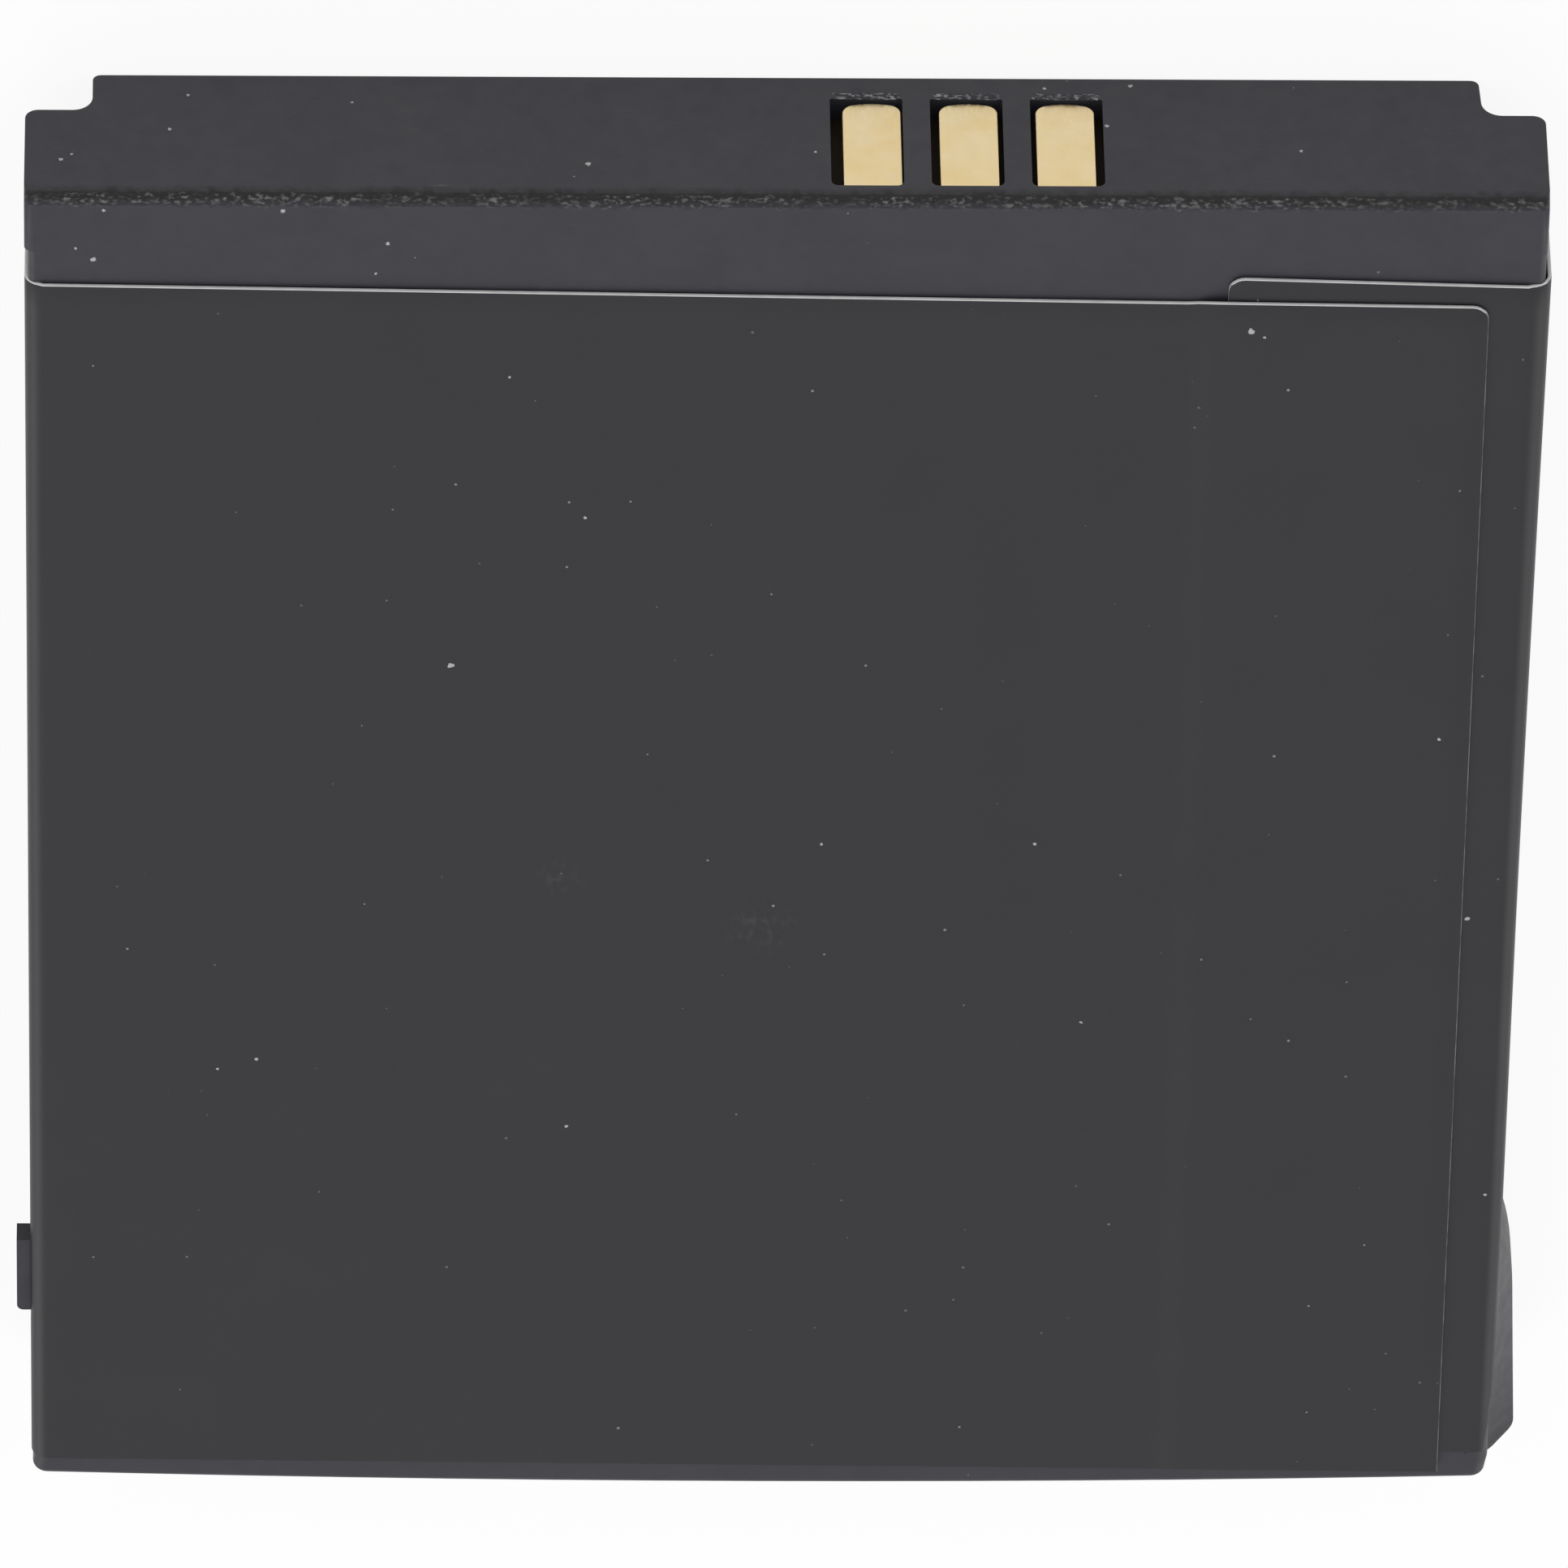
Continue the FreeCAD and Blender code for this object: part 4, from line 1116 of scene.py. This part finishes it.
LABEL_SMUDGES = [
    ((-6.6, -0.8, 6.14), 0.9),
    ((-0.4, -2.7, 6.14), 1.4),
]
CAP_FLECKS = [
    ((-20.91, 23.59, 6.02), 0.1),
    ((-12.03, 24.26, 6.02), 0.07),
    ((-5.99, 26.0, 4.32), 0.09),
    ((0.87, 26.0, 3.69), 0.06),
    ((-21.9, 26.0, 4.19), 0.07),
    ((-21.58, 26.0, 3.95), 0.05),
    ((-18.63, 26.0, 2.72), 0.06),
    ((-18.08, 26.0, 1.07), 0.06),
    ((-13.12, 26.0, 1.39), 0.05),
    ((15.54, 26.0, 3.55), 0.06),
    ((10.46, 26.0, 0.44), 0.08),
    ((9.7, 26.0, 2.37), 0.07),
    ((7.85, 26.0, 0.58), 0.06),
    ((-15.19, 25.5, 6.02), 0.08),
    ((-20.59, 25.5, 6.02), 0.06),
    ((-12.39, 23.09, 6.02), 0.05),
    ((-21.45, 24.02, 6.02), 0.05),
]

# Colours of the finishes, and how much rubbing and grain change a colour
PALE_DUST = grey(0.38)
FILM_DEEP = grey(0.0076, 0.0028)
FILM_PALE = grey(0.0093, 0.0028)
SMUDGE_PALE = grey(0.16)
CORE_DEEP = grey(0.5)
CORE_PALE = grey(0.72)
WORN_DEEP = grey(0.07)
WORN_PALE = grey(0.19)
PLASTIC_DEEP = (0.021, 0.0213, 0.0285, 1.0)
PLASTIC_PALE = (0.025, 0.0252, 0.0325, 1.0)
# Painted shadow along the torn edge's groove
TORN_PAINTED_SHADOW = grey(0.004)
# Crumbs on the torn front edge, partly painted glints of its lit rough facets
EDGE_CRUMB_AND_GLINT_PALE = grey(0.2)
# Crumbs on the windows' lips, partly painted glints along the lit lip
LIP_CRUMB_AND_GLINT_PALE = grey(0.3)
GOLD_DEEP = (0.77, 0.6, 0.31, 1.0)
GOLD_PALE = (0.8, 0.655, 0.395, 1.0)
GOLD_WORN = (0.73, 0.655, 0.5, 1.0)
METAL_RUBBED = 0.88
GRAIN_PALER = 1.15

# Sizes in the finishes: dust and its cells, grain, smears, and crumbs with painted glints
DUST = 0.05 * MM
FILM_DUST_CELL = 0.9 * MM
PLASTIC_DUST_CELL = 1.0 * MM
FILM_GRAIN = 0.08 * MM
CORE_GRAIN = 0.05 * MM
PLASTIC_GRAIN = 0.06 * MM
GOLD_GRAIN = 0.08 * MM
SMUDGE_GRAIN = 0.2 * MM
CRUMB_AND_GLINT = 0.1 * MM
CRUMB_AND_GLINT_PATCH = 1.2 * MM


def lay_dust(finish, base, flecks, cell):
    """Fine dust and a few flecks over a base colour."""
    colour = finish.mix(finish.dust(cell, DUST), base, PALE_DUST)
    for place, radius in flecks:
        colour = finish.mix(finish.fleck(place, radius * MM), colour, PALE_DUST)
    return colour


def film_finish():
    """Matt black film with faint mottling, smudges and dust."""
    finish = Finish("label_film")
    base = finish.mix(finish.cloud(5.0 * MM, 4.0), FILM_DEEP, FILM_PALE)
    for place, radius in LABEL_SMUDGES:
        base = finish.mix(finish.smudge(place, radius * MM), base, SMUDGE_PALE)
    finish.set(Base_Color=lay_dust(finish, base, LABEL_FLECKS, FILM_DUST_CELL))
    finish.set(Roughness=finish.cloud(2.0 * MM, low=0.42, high=0.44), Specular_IOR_Level=0.35)
    finish.bump(finish.noise(FILM_GRAIN), 0.004 * MM)
    return finish.material


def core_finish():
    """The film's pale core, where it is cut."""
    finish = Finish("film_core")
    base = finish.mix(finish.noise(0.5 * MM, 3.0), CORE_DEEP, CORE_PALE)
    finish.set(Base_Color=base, Roughness=0.6, Specular_IOR_Level=0.3)
    finish.bump(finish.noise(CORE_GRAIN), 0.003 * MM)
    return finish.material


def worn_edge_finish():
    """The lap's end: a rubbed edge, grey and uneven."""
    finish = Finish("film_worn_edge")
    patch = finish.spread(finish.noise(0.7 * MM, 4.0), 0.35, 0.65)
    base = finish.mix(patch, WORN_DEEP, WORN_PALE)
    finish.set(Base_Color=base, Roughness=0.6, Specular_IOR_Level=0.3)
    finish.bump(finish.noise(CORE_GRAIN), 0.004 * MM)
    return finish.material


def plastic_finish():
    """Fine-grained black moulded plastic, a little blue."""
    finish = Finish("black_plastic")
    base = finish.mix(finish.cloud(3.0 * MM, 4.0), PLASTIC_DEEP, PLASTIC_PALE)
    finish.set(Base_Color=lay_dust(finish, base, CAP_FLECKS, PLASTIC_DUST_CELL))
    finish.set(Roughness=finish.cloud(0.6 * MM, low=0.42, high=0.52), Specular_IOR_Level=0.36)
    finish.bump(finish.noise(PLASTIC_GRAIN, 3.0), 0.006 * MM)
    return finish.material


def torn_edge_finish():
    """The cap's torn front edge: a painted shadow below the end face, and whitened crumbs with painted
    glints towards the front.
    """
    finish = Finish("torn_edge")
    spot = finish.add("ShaderNodeSeparateXYZ")
    finish.feed(spot.inputs[0], finish.place)

    # Across the edge: 0 where the end face ends, 1 where the front starts
    slide = finish.math("SUBTRACT", spot.outputs["Z"], spot.outputs["Y"])
    start, end = chamfer_below - end_face, front - chamfer_inside
    across = finish.spread(slide, start - CAP_CHAMFER, end + CAP_CHAMFER, -0.5, 1.5)
    across = finish.math("ADD", across, finish.cloud(0.3 * MM, 3.0, -0.2, 0.2))

    def band(rise_low, rise_high, fall_low, fall_high):
        rise = finish.spread(across, rise_low, rise_high)
        return finish.math("MULTIPLY", rise, finish.spread(across, fall_low, fall_high, 1.0, 0.0))

    # Painted shadow: the band nearest the end face is darkened where the edge's groove lies in shade
    base = finish.mix(band(-0.5, 0.1, 0.4, 1.0), PLASTIC_PALE, TORN_PAINTED_SHADOW)
    # Whitened crumbs towards the front, partly real torn crumbs and partly painted glints of lit rough
    # facets
    crumbs_and_glints = finish.math("MULTIPLY", finish.crumbs_and_glints(), band(0.1, 0.4, 0.75, 1.1))
    finish.set(Base_Color=finish.mix(crumbs_and_glints, base, EDGE_CRUMB_AND_GLINT_PALE))
    finish.set(Roughness=0.52, Specular_IOR_Level=0.36)
    finish.bump(finish.noise(PLASTIC_GRAIN, 3.0), 0.008 * MM)
    return finish.material


def torn_lip_finish():
    """A window's torn lip: plastic whitened in crumbs, partly painted glints along the lit lip."""
    finish = Finish("torn_lip")
    # Whitened lip: partly torn crumbs, partly painted glints
    crumbs_and_glints = finish.spread(finish.crumbs_and_glints(), 0.0, 0.6)
    finish.set(Base_Color=finish.mix(crumbs_and_glints, PLASTIC_DEEP, LIP_CRUMB_AND_GLINT_PALE))
    finish.set(Roughness=0.55, Specular_IOR_Level=0.3)
    finish.bump(finish.noise(PLASTIC_GRAIN, 3.0), 0.008 * MM)
    return finish.material


def gold_finish():
    """Satin gold plating with faint blotches and fine scratches."""
    finish = Finish("gold_contact")
    base = finish.mix(finish.cloud(0.9 * MM, 3.0), GOLD_DEEP, GOLD_PALE)
    scratch = finish.noise(0.5 * MM, 5.0, finish.stretched((6.0, 1.0, 1.0)))
    worn = finish.mix(finish.spread(scratch, 0.55, 0.75, 0.0, 0.5), base, GOLD_WORN)
    finish.set(Base_Color=worn, Metallic=1.0)
    finish.set(Roughness=finish.spread(scratch, NOISE_LOW, NOISE_HIGH, 0.26, 0.4))
    finish.bump(finish.noise(GOLD_GRAIN, 3.0), 0.003 * MM)
    return finish.material


def metal_finish(name, colour, roughness):
    """Plated or drawn metal with faint rubbing marks."""
    finish = Finish(name)
    rub = finish.noise(1.2 * MM, 4.0, finish.stretched((8.0, 1.0, 1.0)))
    finish.set(Base_Color=finish.mix(rub, tinted(colour, METAL_RUBBED), colour), Metallic=1.0)
    finish.set(Roughness=finish.spread(rub, NOISE_LOW, NOISE_HIGH, roughness - 0.05, roughness + 0.08))
    finish.bump(finish.noise(0.1 * MM, 3.0), 0.003 * MM)
    return finish.material


def grained_finish(name, colour, roughness, grain, gloss=0.5):
    """Board, paper, ceramic and moulded inner pieces: a colour with a little grain."""
    finish = Finish(name)
    patch = finish.noise(grain * 4, 3.0)
    finish.set(Base_Color=finish.mix(patch, colour, tinted(colour, GRAIN_PALER)))
    finish.set(Roughness=roughness, Specular_IOR_Level=gloss)
    finish.bump(finish.noise(grain, 2.0), grain / 12)
    return finish.material


def place_on_pack(piece, node):
    """Puts a new piece on the pack in its CAD node's place, shaded smooth across gentle angles."""
    pick(piece)
    bpy.ops.object.shade_smooth_by_angle(angle=math.radians(SMOOTH_ANGLE))
    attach(piece, "root")
    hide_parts(node)


def dress_inner_nodes():
    """Gives every CAD node that stays its own finish, by its slot in the record."""
    finishes = {
        "cell_metal": metal_finish("cell_metal", (0.72, 0.73, 0.74, 1.0), 0.35),
        "nickel": metal_finish("nickel", (0.62, 0.6, 0.56, 1.0), 0.3),
        "board_black": grained_finish("board_black", (0.018, 0.012, 0.007, 1.0), 0.6, 0.3 * MM, 0.1),
        "chip_black": grained_finish("chip_black", (0.03, 0.03, 0.033, 1.0), 0.5, 0.1 * MM),
        "chip_ceramic": grained_finish("chip_ceramic", (0.42, 0.33, 0.22, 1.0), 0.5, 0.1 * MM),
        "gasket_plastic": grained_finish("gasket_plastic", (0.75, 0.75, 0.72, 1.0), 0.45, 0.2 * MM),
        "insulating_paper": grained_finish("insulating_paper", (0.55, 0.58, 0.5, 1.0), 0.8, 0.15 * MM),
        "adhesive_pad": grained_finish("adhesive_pad", (0.12, 0.12, 0.12, 1.0), 0.9, 0.2 * MM),
    }
    for part in frame["record"]["subparts"]:
        material = finishes.get(part["material_slot"])
        if material:
            node = frame["nodes"][part["node"]]
            node.data.materials.clear()
            node.data.materials.append(material)


def seen_rays(tree):
    """A socket that is 1 for rays from the camera, from reflections and through clear things."""
    path = tree.nodes.new("ShaderNodeLightPath")
    seen = path.outputs["Is Camera Ray"]
    for name in ("Is Glossy Ray", "Is Transmission Ray"):
        either = tree.nodes.new("ShaderNodeMath")
        either.operation = "MAXIMUM"
        tree.links.new(seen, either.inputs[0])
        tree.links.new(path.outputs[name], either.inputs[1])
        seen = either.outputs[0]
    return seen


def make_floor():
    """A pale floor that shows white and keeps a soft shadow."""
    bpy.ops.object.select_all(action="DESELECT")
    bpy.ops.mesh.primitive_plane_add(size=FLOOR_SIZE)
    floor = bpy.context.object
    floor.name = "floor"
    finish = Finish("pale_floor")
    finish.set(Base_Color=grey(FLOOR_GREY), Roughness=0.9, Specular_IOR_Level=0.0)
    glow = finish.add("ShaderNodeEmission")
    share = finish.add("ShaderNodeMixShader")
    finish.feed(share.inputs["Fac"], finish.math("MULTIPLY", seen_rays(finish.tree), FLOOR_GLOW))
    finish.feed(share.inputs[1], finish.shader.outputs["BSDF"])
    finish.feed(share.inputs[2], glow.outputs["Emission"])
    finish.feed(finish.tree.nodes["Material Output"].inputs["Surface"], share.outputs["Shader"])
    floor.data.materials.append(finish.material)


def light_world():
    """Soft even light, with a white background for what the camera and the reflections see."""
    world = bpy.data.worlds.new("studio")
    bpy.context.scene.world = world
    world.use_nodes = True
    tree = world.node_tree
    background = tree.nodes["Background"]
    background.inputs["Color"].default_value = grey(1.0)
    level = tree.nodes.new("ShaderNodeMapRange")
    level.inputs["To Min"].default_value = ROOM_LIGHT
    level.inputs["To Max"].default_value = ROOM_SEEN
    tree.links.new(seen_rays(tree), level.inputs["Value"])
    tree.links.new(level.outputs[0], background.inputs["Strength"])


def make_camera():
    """The photograph's camera, carried over from the pack on its end to the pack on its back."""
    data = bpy.data.cameras.new("photo_camera")
    camera = bpy.data.objects.new("photo_camera", data)
    bpy.context.scene.collection.objects.link(camera)
    bpy.context.scene.camera = camera
    data.sensor_width = SENSOR
    data.lens = SENSOR * LENS_PIXELS / PHOTO_SIDE
    data.clip_start = CLIP_START
    data.clip_end = CLIP_END
    right = (PHOTO_SIDE / 2 - PACK_CENTRE_PIXEL[0]) / LENS_PIXELS
    down = (PHOTO_SIDE / 2 - PACK_CENTRE_PIXEL[1]) / LENS_PIXELS
    camera.matrix_world = (
        Matrix.Translation((0.0, 0.0, (front + back) / 2))
        @ Matrix.Rotation(math.radians(-90.0), 4, "X")
        @ Matrix.Rotation(math.radians(VIEW_AZIMUTH), 4, "Z")
        @ Matrix.Rotation(math.radians(90.0 - VIEW_ELEVATION), 4, "X")
        @ Matrix.Rotation(math.radians(VIEW_ROLL), 4, "Z")
        @ Matrix.Translation((0.0, 0.0, VIEW_DISTANCE))
        @ Matrix.Rotation(-right, 4, "Y")
        @ Matrix.Rotation(-down, 4, "X")
    )


def make_lamp(name, place, size, power):
    """A soft round lamp that faces the pack."""
    data = bpy.data.lights.new(name, "AREA")
    data.shape = "DISK"
    data.size = size
    data.energy = power
    lamp = bpy.data.objects.new(name, data)
    bpy.context.scene.collection.objects.link(lamp)
    lamp.location = place
    lamp.rotation_euler = lamp.location.to_track_quat("Z", "Y").to_euler()


def build():
    """Models, finishes and places every piece, then sets the stage."""
    black = plastic_finish()
    cap = make_end_cap(black, torn_edge_finish(), torn_lip_finish())
    place_on_pack(cap, "top_cap")
    place_on_pack(make_moulded_frame(black), "pack_frame")
    label = make_label(film_finish(), core_finish(), worn_edge_finish())
    place_on_pack(label, "label")
    first = make_first_contact(gold_finish())
    pads = [first] + [repeat_contact(first, node) for node in CONTACTS[1:]]
    for pad, node in zip(pads, CONTACTS):
        place_on_pack(pad, node)
    dress_inner_nodes()
    make_floor()
    light_world()
    make_camera()
    for lamp in LAMPS:
        make_lamp(*lamp)
    bpy.context.scene.view_settings.view_transform = "Standard"


build()
